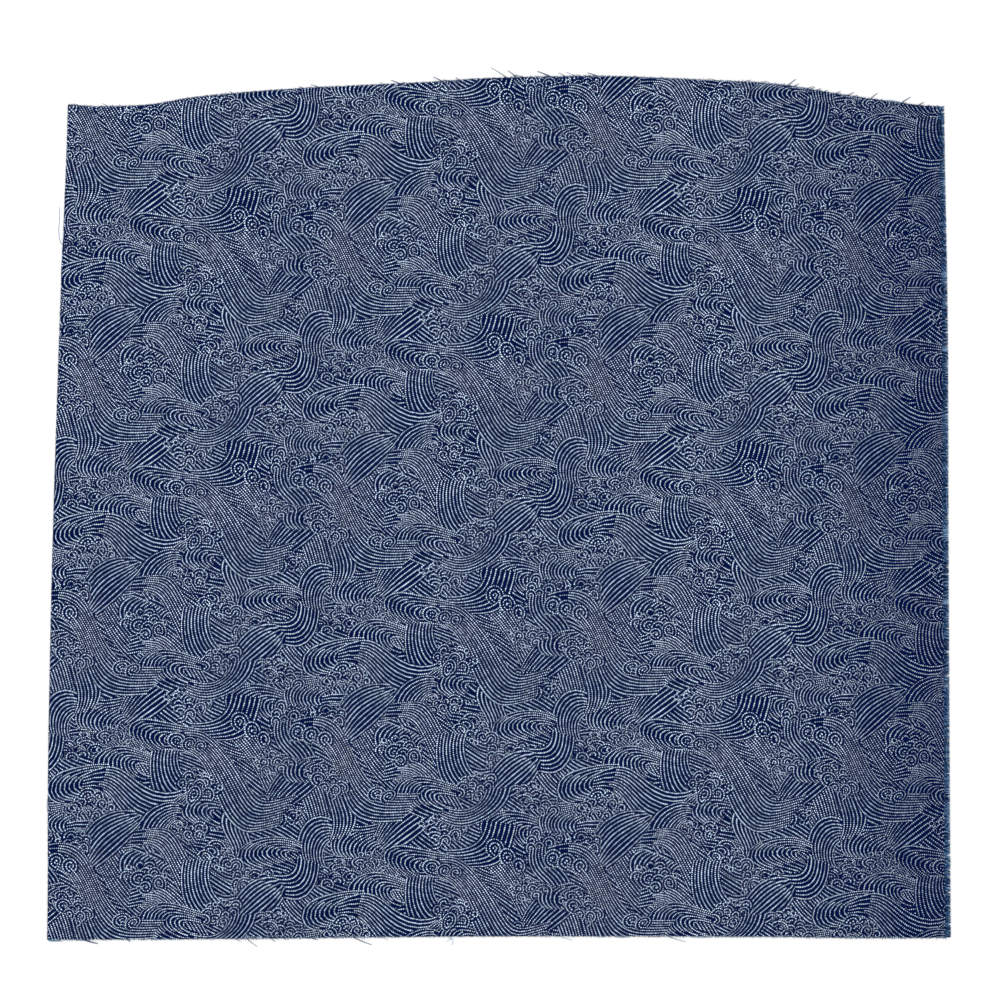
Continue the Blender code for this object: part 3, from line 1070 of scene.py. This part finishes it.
def cotton_reverse(settings):
    """The same dyed cotton seen from its unprinted back, paler and flatter in colour."""
    material, tree, shader = new_material("dyed_cotton_reverse")
    place = add_node(tree, "TexCoord", output="Object")
    slubs = add_node(tree, "TexNoise", {"Vector": place, "Scale": texture_scale(SLUB)})
    dark, light = (shade(settings.reverse, by) for by in REVERSE_SHADES)
    mix = {0: slubs, ONE_COLOUR: dark, OTHER_COLOUR: light}
    colour = add_node(tree, "Mix", mix, MIXTURE, data_type="RGBA")
    look = {"Base Color": colour, "Roughness": COTTON_ROUGHNESS, "Specular IOR Level": THREAD_SHINE}
    feed(shader, look)
    return material


def cut_thread(settings):
    """Spun cotton thread, dyed with the cloth and cut: matt, each end a little lighter or darker."""
    material, tree, shader = new_material("cut_cotton_thread")
    add = partial(add_node, tree)
    tone = add("Attribute", output="Fac", attribute_name="tone")
    low = add("Math", (tone, 2.0), operation="MULTIPLY")
    low = add("Math", (low, 1.0), operation="MINIMUM")
    high = add("Math", (tone, 2.0, -1.0), operation="MULTIPLY_ADD")
    high = add("Math", (high, 0.0), operation="MAXIMUM")
    dark, weft, pale = (shade(colour, 1.0) for colour in (settings.dark, settings.weft, settings.pale))
    colour = add("Mix", {0: low, ONE_COLOUR: dark, OTHER_COLOUR: weft}, MIXTURE, data_type="RGBA")
    colour = add("Mix", {0: high, ONE_COLOUR: colour, OTHER_COLOUR: pale}, MIXTURE, data_type="RGBA")
    look = {"Base Color": colour, "Roughness": COTTON_ROUGHNESS, "Specular IOR Level": THREAD_SHINE}
    feed(shader, look)
    return material


# The cloth

MERGED = 1e-4                  # corners closer than this become one, mm
SHARP = 40.0                   # angle from which an edge between two faces is sharp, degrees

# The sheet's own flat map: its width, and the heights of its back, its cut edge and its face.
MAP_WIDTH = (0.002, 0.998)
BACK_BAND = (0.001, 0.028)
EDGE_BAND = (0.030, 0.034)
FACE_BAND = (0.036, 0.999)


def boundary_loop(faces):
    """The mesh's outer corners in order, anticlockwise."""
    pairs = np.concatenate([faces[:, [0, 1]], faces[:, [1, 2]], faces[:, [2, 0]]]).astype(np.int64)
    count = faces.max() + 1
    forward = pairs[:, 0] * count + pairs[:, 1]
    backward = pairs[:, 1] * count + pairs[:, 0]
    after = {int(a): int(b) for a, b in pairs[~np.isin(forward, backward)]}
    loop = [next(iter(after))]
    while after[loop[-1]] != loop[0]:
        loop.append(after[loop[-1]])
    return np.array(loop)


def cut_face(rim, wave_print):
    """The cloth's face as triangles that follow the motifs: corners and faces, before the sway."""
    points, edges = wave_print.drawn(complex(rim.real.max(), rim.imag.max()))
    rim = unswayed(rim)
    inside = np.concatenate([np.ones(len(rim), bool), inside_of(rim, points)])
    points = np.concatenate([rim, points])
    edges = edges + len(rim)
    edges = edges[inside[edges].any(1)]
    used = inside.copy()
    used[edges] = True
    place = np.cumsum(used) - 1
    points, edges = points[used], place[edges]
    # The rim goes in as one face, and the triangles that come out of it are the cloth's.
    places = [Vector((p.real, p.imag)) for p in points]
    found = delaunay_2d_cdt(places, edges.tolist(), [list(range(len(rim)))], 0, MERGED, True)
    flat = np.array([complex(*v) for v in found[0]])
    faces = np.array([face for face, source in zip(found[2], found[5]) if source])
    kept = np.unique(faces)
    place = np.full(len(flat), -1)
    place[kept] = np.arange(len(kept))
    flat, faces = flat[kept], place[faces]
    corners = flat[faces]
    turn = cross(corners[:, 1] - corners[:, 0], corners[:, 2] - corners[:, 0])
    faces[turn < 0] = faces[turn < 0][:, ::-1]
    return flat, faces


def print_on(corners, wave_print):
    """The line numbers and lengths at every face corner, a row of corners for each face."""
    owner, shift = wave_print.owners(corners.mean(1))
    line = np.zeros((*corners.shape, 3))
    length = np.zeros((*corners.shape, 3))
    for index in range(-1, len(wave_print.motifs)):
        mine = np.flatnonzero(owner == index)
        if not len(mine):
            continue
        if index < 0:
            count, along, gap, slide = sea(corners[mine])
            first, more, number = SEA_LENGTH, 0.0, SEA_NUMBER
        else:
            motif = wave_print.motifs[index]
            local = corners[mine] - shift[mine][:, None]
            count, along, gap, slide = motif.measure(local, local.mean(1))
            first, more, number = motif.first_length, motif.more_length, index + 1
        line[mine] = np.stack([count + number * LINES_APART + LINES_BEFORE, along, gap], -1)
        length[mine] = np.stack([0 * count + first, 0 * count + more, slide], -1)
    return line, length


def printed_share(places, wave_print):
    """How much of a thread a printed line colours at each place, from 0 to 1."""
    line, _ = print_on(unswayed(places)[:, None], wave_print)
    off_line = abs(line[:, 0, 0] % 1.0 - 0.5) * line[:, 0, 2]
    return np.clip((LINE_REACH - off_line) / LINE_FADE, 0.0, 1.0)


def cloth_mesh(cut):
    """The cloth as one closed sheet: its printed face, its cut edge and a plain back."""
    wave_print = Print()
    flat, faces = cut_face(cloth_outline(cut) / MM, wave_print)
    line, length = print_on(flat[faces], wave_print)
    flat = (flat + sway(flat)) * MM

    loop = boundary_loop(faces)
    top = np.column_stack([flat.real, flat.imag, face_height(cut, flat)])
    under = np.column_stack([flat[loop].real, flat[loop].imag, np.zeros(len(loop))])
    ring = np.arange(len(loop))
    base = len(top)
    sides = np.stack([np.roll(loop, -1), loop, base + ring, base + np.roll(ring, -1)], -1)
    back = base + ring[::-1]
    mesh = bpy.data.meshes.new("printed_cloth")
    points = np.concatenate([top, under]) + CLOTH_CORNER
    mesh.from_pydata(points.tolist(), [], faces.tolist() + sides.tolist() + [back.tolist()])

    for name, values in (("print_line", line), ("print_length", length)):
        whole = np.zeros((len(mesh.loops), 3))
        whole[: faces.size] = values.reshape(-1, 3)
        whole[faces.size :, 2] = FAR_APART if name == "print_line" else 0.0
        mesh.attributes.new(name, "FLOAT_VECTOR", "CORNER").data.foreach_set("vector", whole.ravel())
    lay_flat_map(mesh, flat, faces, loop)
    slots = np.zeros(len(mesh.polygons), np.int32)
    slots[-1] = 1
    mesh.polygons.foreach_set("material_index", slots)
    print("cloth:", len(faces), "triangles on its face,", len(loop), "points round its edge")
    return mesh


def lay_flat_map(mesh, flat, faces, loop):
    """The sheet's own flat map: its face over nearly all of it, its edge and its back below."""
    extent = complex(flat.real.max(), flat.imag.max())

    def spread(places, low, high):
        """Places of the cloth over the map's width, and between two heights of it."""
        left, right = MAP_WIDTH
        across = left + (right - left) * places.real / extent.real
        return np.stack([across, low + (high - low) * places.imag / extent.imag], -1)

    rim = flat[loop]
    along = np.linspace(*MAP_WIDTH, len(loop) + 1)
    bottom, top = (np.full(len(loop), height) for height in EDGE_BAND)
    wall = ((along[1:], top), (along[:-1], top), (along[:-1], bottom), (along[1:], bottom))
    walls = np.stack([np.stack(corner, -1) for corner in wall], 1)
    places = np.concatenate([
        spread(flat[faces].ravel(), *FACE_BAND),
        walls.reshape(-1, 2),
        spread(rim[::-1], *BACK_BAND),
    ])
    mesh.uv_layers.new(name="OFBake").data.foreach_set("uv", places.ravel())


# Threads

UNDERSIDE = 0.5                # how far a thread's flat underside lies below its middle, in half-widths


class Threads:
    """Three-sided tapered threads gathered into one mesh."""

    def __init__(self):
        self.points, self.faces, self.tones = [], [], []

    def add(self, course, width, tip, tones):
        """A thread along a course of places and heights, from its width down to tip of it."""
        base = len(self.points)
        last = len(course) - 1
        for k, (place, height) in enumerate(course):
            before, after = course[max(k - 1, 0)][0], course[min(k + 1, last)][0]
            way = (after - before) / abs(after - before)
            half = width / 2 * (1 + (tip - 1) * k / last)
            for side in (way * -1j * half, way * 1j * half):
                corner = place + side
                self.points.append((corner.real, corner.imag, height - half * UNDERSIDE))
            self.points.append((place.real, place.imag, height + half))
            self.tones += [tones[k]] * 3
        self.faces.append((base, base + 1, base + 2))
        for k in range(last):
            a, b = base + 3 * k, base + 3 * k + 3
            self.faces += [(a, b, b + 1, a + 1), (a + 1, b + 1, b + 2, a + 2), (a + 2, b + 2, b, a)]
        end = base + 3 * last
        self.faces.append((end + 2, end + 1, end))

    def piece(self, name, node, material):
        """The threads as a piece that stands for a solid."""
        mesh = bpy.data.meshes.new(name)
        points = np.array(self.points) + CLOTH_CORNER
        mesh.from_pydata(points.tolist(), [], self.faces)
        mesh.attributes.new("tone", "FLOAT", "POINT").data.foreach_set("value", self.tones)
        mesh.materials.append(material)
        add_piece(name, mesh, node)


@dataclass
class Edge:
    """One frayed edge: its curve, its outward side, its solid and the cut ends that stand along it.

    gap, length and width are in metres, spread is a share of the length, and lean is in degrees towards
    the edge's end, at its start, middle and end. A tone runs from 0, dark, to 1, pale: tones gives a
    thread's own and where the print colours it, and paling adds to it towards the tip. slit is the
    usual distance between two slits.
    """

    curve: Callable
    side: complex
    node: str
    piece: str
    gap: float
    length: float
    spread: float
    width: float
    lean: tuple
    tones: tuple
    slit: float = 0.0
    paling: float = 0.0


EDGES = (
    Edge(
        right_edge, -1j, "fringe_right", "weft_fringe",
        gap=0.00036, length=0.0031, spread=0.03, width=0.00044, lean=(0, 0, 0), tones=(0.0, 0.64),
        slit=0.009, paling=0.26,
    ),
    Edge(
        top_edge, 1j, "fray_top", "top_ends",
        gap=0.00042, length=0.0005, spread=0.50, width=0.00034, lean=(-30, -40, 35), tones=(0.0, 0.6),
    ),
    Edge(
        bottom_edge, -1j, "fray_bottom", "bottom_ends",
        gap=0.00050, length=0.0005, spread=0.60, width=0.00034, lean=(20, 30, 20), tones=(0.1, 0.8),
    ),
    Edge(
        left_edge, 1j, "fray_left", "left_ends",
        gap=0.00080, length=0.0002, spread=0.50, width=0.00034, lean=(0, 0, 0), tones=(0.0, 0.4),
    ),
)

# Loose threads that leave an edge at a slant: how far along the edge, length in metres, lean in degrees
# and width as a share of a thread.
LOOSE = {
    "fray_top": (
        (0.046, 0.0040, -62, 0.8),
        (0.190, 0.0030, -60, 0.9),
        (0.270, 0.0027, -62, 1.2),
        (0.288, 0.0052, -68, 1.1),
        (0.363, 0.0031, -60, 0.7),
        (0.381, 0.0060, -66, 1.3),
        (0.430, 0.0065, -62, 1.3),
        (0.435, 0.0027, -70, 1.0),
        (0.439, 0.0048, -80, 0.6),
        (0.449, 0.0028, -48, 1.0),
        (0.504, 0.0118, -57, 1.0),
        (0.515, 0.0069, -50, 1.4),
        (0.523, 0.0056, -75, 1.3),
        (0.554, 0.0088, -68, 1.6),
        (0.571, 0.0049, -62, 1.0),
        (0.583, 0.0069, -67, 0.7),
        (0.589, 0.0032, -70, 1.0),
        (0.608, 0.0066, -72, 1.4),
        (0.743, 0.0049, -75, 0.6),
        (0.776, 0.0045, 73, 0.9),
        (0.793, 0.0057, 76, 0.6),
        (0.826, 0.0066, 45, 1.4),
        (0.833, 0.0038, 52, 1.1),
        (0.848, 0.0044, 62, 0.9),
        (0.853, 0.0030, 48, 1.1),
        (0.860, 0.0025, 52, 1.3),
        (0.868, 0.0023, 60, 1.3),
        (0.882, 0.0030, 50, 1.2),
        (0.895, 0.0046, 56, 1.1),
        (0.903, 0.0021, 54, 1.0),
        (0.921, 0.0057, 43, 1.3),
        (0.956, 0.0072, 51, 1.4),
        (0.976, 0.0040, 57, 1.4),
    ),
    "fray_bottom": (
        (0.040, 0.0095, 75, 2.0),
        (0.089, 0.0025, 48, 1.2),
        (0.209, 0.0044, 62, 0.7),
        (0.222, 0.0083, 52, 1.0),
        (0.249, 0.0037, 50, 1.0),
        (0.263, 0.0023, 57, 1.0),
        (0.294, 0.0042, 71, 1.4),
        (0.341, 0.0120, 68, 1.3),
        (0.373, 0.0040, 61, 0.6),
        (0.570, 0.0086, 73, 0.6),
        (0.691, 0.0115, 74, 0.8),
    ),
}

# Threads that lie along an edge: how far along it they start, their width as a share of a thread, their
# tone, and places along and out from there, in millimetres.
ALONG = {
    "fray_left": (
        (0.832, 0.6, 0.50, ((0.0, -0.5), (1.0, 1.2), (4.0, 2.3), (9.0, 2.9), (15.0, 2.7), (23.0, 2.9))),
        (0.790, 0.7, 0.90, ((0.0, 0.1), (6.0, 0.35), (13.0, 0.1), (20.0, 0.3))),
        (0.150, 0.5, 0.60, ((0.0, -0.3), (4.0, 0.5), (9.0, 0.4))),
    ),
    "fray_bottom": (
        (0.001, 1.1, 0.70, ((0.0, 0.5), (3.5, 0.8), (7.5, 0.6))),
        (0.002, 1.0, 0.95, ((0.0, 1.0), (3.0, 1.2), (8.5, 1.1))),
        (0.030, 0.8, 0.60, ((0.0, 0.0), (4.0, 0.7), (8.0, 0.4))),
        (0.444, 0.7, 0.85, ((0.0, -0.4), (2.2, 1.2), (4.0, 2.2), (4.5, 3.8), (3.2, 5.2))),
        (0.452, 0.5, 0.90, ((0.0, -0.2), (-1.5, 2.0), (-4.5, 3.4))),
        (0.612, 0.9, 0.85, ((0.0, 0.5), (2.0, 0.8), (4.2, 0.6))),
        (0.632, 0.9, 0.85, ((0.0, 0.6), (4.0, 0.9), (8.5, 0.7))),
        (0.716, 0.9, 0.90, ((0.0, 0.5), (6.0, 0.9), (13.0, 0.6))),
    ),
    "fray_top": (
        (0.937, 0.9, 1.00, ((0.0, 0.3), (4.0, 1.1), (9.0, 0.8))),
        (0.941, 0.8, 0.80, ((0.0, 0.2), (3.0, 0.7), (8.0, 0.4))),
    ),
}
EDGE_STEP = 0.002              # share of an edge to each side over which its direction is taken

# Cut ends, in metres, with shares of an end's length or width and leans in degrees.
ROOT = 0.0007                  # how far inside the woven edge one starts
ROOT_LIFT = 0.00004            # how far above the cloth's edge
TIP_HEIGHT = 0.00024           # height of its tip
THREAD_STEP = 0.0006           # length between two places where its colour is set
OFF_PLACE = 0.3                # how far it stands off its even place, in gaps
LEAN_KEPT, LEAN_SPREAD = 0.9, 2.4          # how much of the last one's lean it has, and its own
TONE_KEPT, TONE_SPREAD = 0.5, 0.10         # the same for its tone
FIRST_SLIT, NEXT_SLIT = (0.3, 1.0), (0.4, 1.6)         # distance to a slit, as a share of the usual one
SLIT_SHORTER = (0.35, 0.6)     # how much shorter an end in a slit is
LEAST_LENGTH = 0.2             # shortest that it gets
WIDTHS = (0.85, 1.15)          # narrowest and widest that it is
TAPER = 0.75                   # width of its tip

# Loose threads, the same way.
LOOSE_ROOT, LOOSE_LIFT = 0.0015, 0.0003    # how far inside the edge one starts, and above it
LYING = (0.0007, 0.0005, 0.00035, 0.00025, 0.0002)     # heights along it, from the cloth down
HAIR_TONES = (0.12, 0.12, 0.14, 0.17, 0.20, 0.24)      # tones along it
FIRST_LEAN, MORE_LEAN = 0.92, 0.04         # share of its lean that it starts with, and gains at each place
LOOSE_TAPER, ALONG_TAPER = 0.5, 0.8        # widths of the tips of slanting threads and of lying ones
ON_CLOTH, BESIDE = 0.0001, 0.00025         # how far it lies above the cloth's edge, and its height beside it


def edge_at(cut, edge, share):
    """A place on an edge, the way along it and the way out of it."""
    way = edge.curve(cut, min(share + EDGE_STEP, 1.0)) - edge.curve(cut, max(share - EDGE_STEP, 0.0))
    way = complex(way / abs(way))
    return complex(edge.curve(cut, share)), way, way * edge.side


def add_ends(threads, cut, edge, wave_print, seed):
    """Cut thread ends side by side along an edge, a little bunched, with a slit here and there."""
    rng = random.Random(seed)
    run = abs(edge.curve(cut, 1.0) - edge.curve(cut, 0.0))
    count = round(run / edge.gap)
    steps = max(2, round(edge.length / THREAD_STEP))
    bunch, own_tone = 0.0, 0.0
    next_slit = rng.uniform(*FIRST_SLIT) * edge.slit
    courses, own_tones = [], []
    for k in range(count):
        share = min(max((k + 0.5 + rng.uniform(-OFF_PLACE, OFF_PLACE)) / count, 0.0), 1.0)
        bunch = LEAN_KEPT * bunch + rng.gauss(0.0, LEAN_SPREAD)
        own_tone = TONE_KEPT * own_tone + rng.gauss(0.0, TONE_SPREAD)
        shorter = 0.0
        if edge.slit:
            next_slit -= run / count
            if next_slit < 0:
                next_slit = rng.uniform(*NEXT_SLIT) * edge.slit
                bunch = -bunch
                shorter = rng.uniform(*SLIT_SHORTER)
        at, way, out = edge_at(cut, edge, share)
        reach = edge.length * max(LEAST_LENGTH, 1 + rng.gauss(0.0, edge.spread) - shorter)
        angle = math.radians(np.interp(share, (0.0, 0.5, 1.0), edge.lean) + bunch)
        leaning = out * math.cos(angle) + way * math.sin(angle)
        course = [(at - out * ROOT, cut.edge_height + ROOT_LIFT)]
        for step in range(1, steps + 1):
            bend = step / steps
            at += (out * (1 - bend) + leaning * bend) * reach / steps
            course.append((at, cut.edge_height + (TIP_HEIGHT - cut.edge_height) * bend))
        courses.append(course)
        own_tones.append(edge.tones[0] + own_tone)
    places = np.array([place for course in courses for place, _ in course]) / MM
    printed = printed_share(places, wave_print).reshape(count, steps + 1)
    paling = edge.paling * np.linspace(0.0, 1.0, steps + 1) ** 2
    tones = np.array(own_tones)[:, None] + (edge.tones[1] - edge.tones[0]) * printed + paling
    for course, row in zip(courses, tones):
        threads.add(course, edge.width * rng.uniform(*WIDTHS), TAPER, row.tolist())


def add_loose(threads, cut, edge, share, length, lean, width):
    """A loose thread that leaves an edge at a slant and lies on the surface."""
    at, way, out = edge_at(cut, edge, share)
    course = [(at - out * LOOSE_ROOT, cut.edge_height + LOOSE_LIFT)]
    for k, height in enumerate(LYING):
        angle = math.radians(lean) * (FIRST_LEAN + MORE_LEAN * k)
        course.append((at, height))
        at += (out * math.cos(angle) + way * math.sin(angle)) * length / (len(LYING) - 1)
    threads.add(course, width, LOOSE_TAPER, HAIR_TONES)


def add_along(threads, cut, edge, share, width, tone, places):
    """A loose thread that lies beside an edge."""
    start, way, out = edge_at(cut, edge, share)
    course = []
    for onward, outward in places:
        height = cut.edge_height + ON_CLOTH if outward <= 0 else BESIDE
        course.append((start + (way * onward + out * outward) * MM, height))
    threads.add(course, width, ALONG_TAPER, [tone] * len(course))


# Pieces

def place_object(name, data, place=(0.0, 0.0, 0.0)):
    """A new object in the scene, at a place."""
    made = bpy.data.objects.new(name, data)
    made.location = place
    bpy.context.scene.collection.objects.link(made)
    return made


def add_piece(name, mesh, node):
    """A finished mesh as a piece that stands for a solid."""
    piece = place_object(name, mesh)
    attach(piece, BODY)
    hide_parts(node)
    return piece


class REMNANT_OT_cloth(Operator):
    """Lay the printed cloth"""

    bl_idname = "remnant.cloth"
    bl_label = "Printed cloth"

    def execute(self, context):
        settings = context.scene.remnant_print
        mesh = cloth_mesh(context.scene.remnant_cut)
        mesh.materials.append(printed_cotton(settings))
        mesh.materials.append(cotton_reverse(settings))
        mesh.shade_smooth()
        mesh.set_sharp_from_angle(angle=math.radians(SHARP))
        piece = add_piece("printed_cloth", mesh, "cloth")
        return {"FINISHED"}


class REMNANT_OT_frays(Operator):
    """Fray the four edges and lay their loose threads"""

    bl_idname = "remnant.frays"
    bl_label = "Frayed edges"

    def execute(self, context):
        cut, settings = context.scene.remnant_cut, context.scene.remnant_fray
        material = cut_thread(settings)
        wave_print = Print()
        for seed, edge in enumerate(EDGES):
            threads = Threads()
            add_ends(threads, cut, edge, wave_print, seed)
            for share, length, lean, width in LOOSE.get(edge.node, ()):
                add_loose(threads, cut, edge, share, length, lean, settings.thread * width)
            for share, width, tone, places in ALONG.get(edge.node, ()):
                add_along(threads, cut, edge, share, settings.thread * width, tone, places)
            threads.piece(edge.piece, edge.node, material)
        return {"FINISHED"}


# The stage, in metres.
FLOOR_REACH = 4.0              # from the middle of the floor to its sides
FLOOR_HEIGHT = -0.0004         # just under the cloth
LAMP_SIZE = 1.6
LAMP_PLACE = (-0.5, 0.5, 2.0)
WHITE = (1.0, 1.0, 1.0, 1.0)


class REMNANT_OT_stage(Operator):
    """Set out the floor, the light and the camera"""

    bl_idname = "remnant.stage"
    bl_label = "Stage"

    def execute(self, context):
        settings = context.scene.remnant_stage
        mesh = bpy.data.meshes.new("floor")
        sides = ((-1, -1), (1, -1), (1, 1), (-1, 1))
        mesh.from_pydata([(FLOOR_REACH * x, FLOOR_REACH * y, 0) for x, y in sides], [], [(0, 1, 2, 3)])
        floor = place_object("floor", mesh, (0.0, 0.0, FLOOR_HEIGHT))
        material, _, shader = new_material("matt_white_paper")
        feed(shader, {"Base Color": (*settings.floor, 1.0), "Roughness": 1.0, "Specular IOR Level": 0.0})
        mesh.materials.append(material)

        world = bpy.data.worlds.new("studio")
        world.use_nodes = True
        feed(world.node_tree.nodes["Background"], {"Color": WHITE, "Strength": settings.sky})
        context.scene.world = world

        light = bpy.data.lights.new("soft_box", "AREA")
        light.shape = "SQUARE"
        light.size = LAMP_SIZE
        light.energy = settings.key
        lamp = place_object("soft_box", light, LAMP_PLACE)
        lamp.rotation_euler = (-lamp.location).to_track_quat("-Z", "Y").to_euler()

        view = bpy.data.cameras.new("camera")
        view.lens = settings.lens
        height = settings.frame_width * settings.lens / view.sensor_width
        context.scene.camera = place_object("camera", view, (settings.aim_across, settings.aim_up, height))
        context.scene.view_settings.view_transform = "Standard"
        return {"FINISHED"}


class REMNANT_PT_panel(Panel):
    """Sizes, colours and pieces of the remnant"""

    bl_idname = "REMNANT_PT_panel"
    bl_label = "Fabric remnant"
    bl_space_type = "VIEW_3D"
    bl_region_type = "UI"
    bl_category = "Remnant"

    def draw(self, context):
        for name, group in GROUPS.items():
            box = self.layout.box()
            for prop in group.__annotations__:
                box.prop(getattr(context.scene, name), prop)
        for operator in OPERATORS:
            self.layout.operator(operator.bl_idname)


GROUPS = {
    "remnant_cut": RemnantCut,
    "remnant_print": RemnantPrint,
    "remnant_fray": RemnantFray,
    "remnant_stage": RemnantStage,
}
OPERATORS = (REMNANT_OT_stage, REMNANT_OT_cloth, REMNANT_OT_frays)


def register():
    """Make the settings, the operators and the panel known to Blender."""
    for cls in (*GROUPS.values(), *OPERATORS, REMNANT_PT_panel):
        bpy.utils.register_class(cls)
    for name, cls in GROUPS.items():
        setattr(bpy.types.Scene, name, PointerProperty(type=cls))


def unregister():
    """Take them out again."""
    for name in GROUPS:
        delattr(bpy.types.Scene, name)
    for cls in reversed((*GROUPS.values(), *OPERATORS, REMNANT_PT_panel)):
        bpy.utils.unregister_class(cls)


def main():
    """Make the pieces and the stage, and note how many triangles the cloth's face has."""
    register()
    bpy.ops.remnant.stage()
    bpy.ops.remnant.cloth()
    bpy.ops.remnant.frays()


if __name__ == "__main__":
    main()
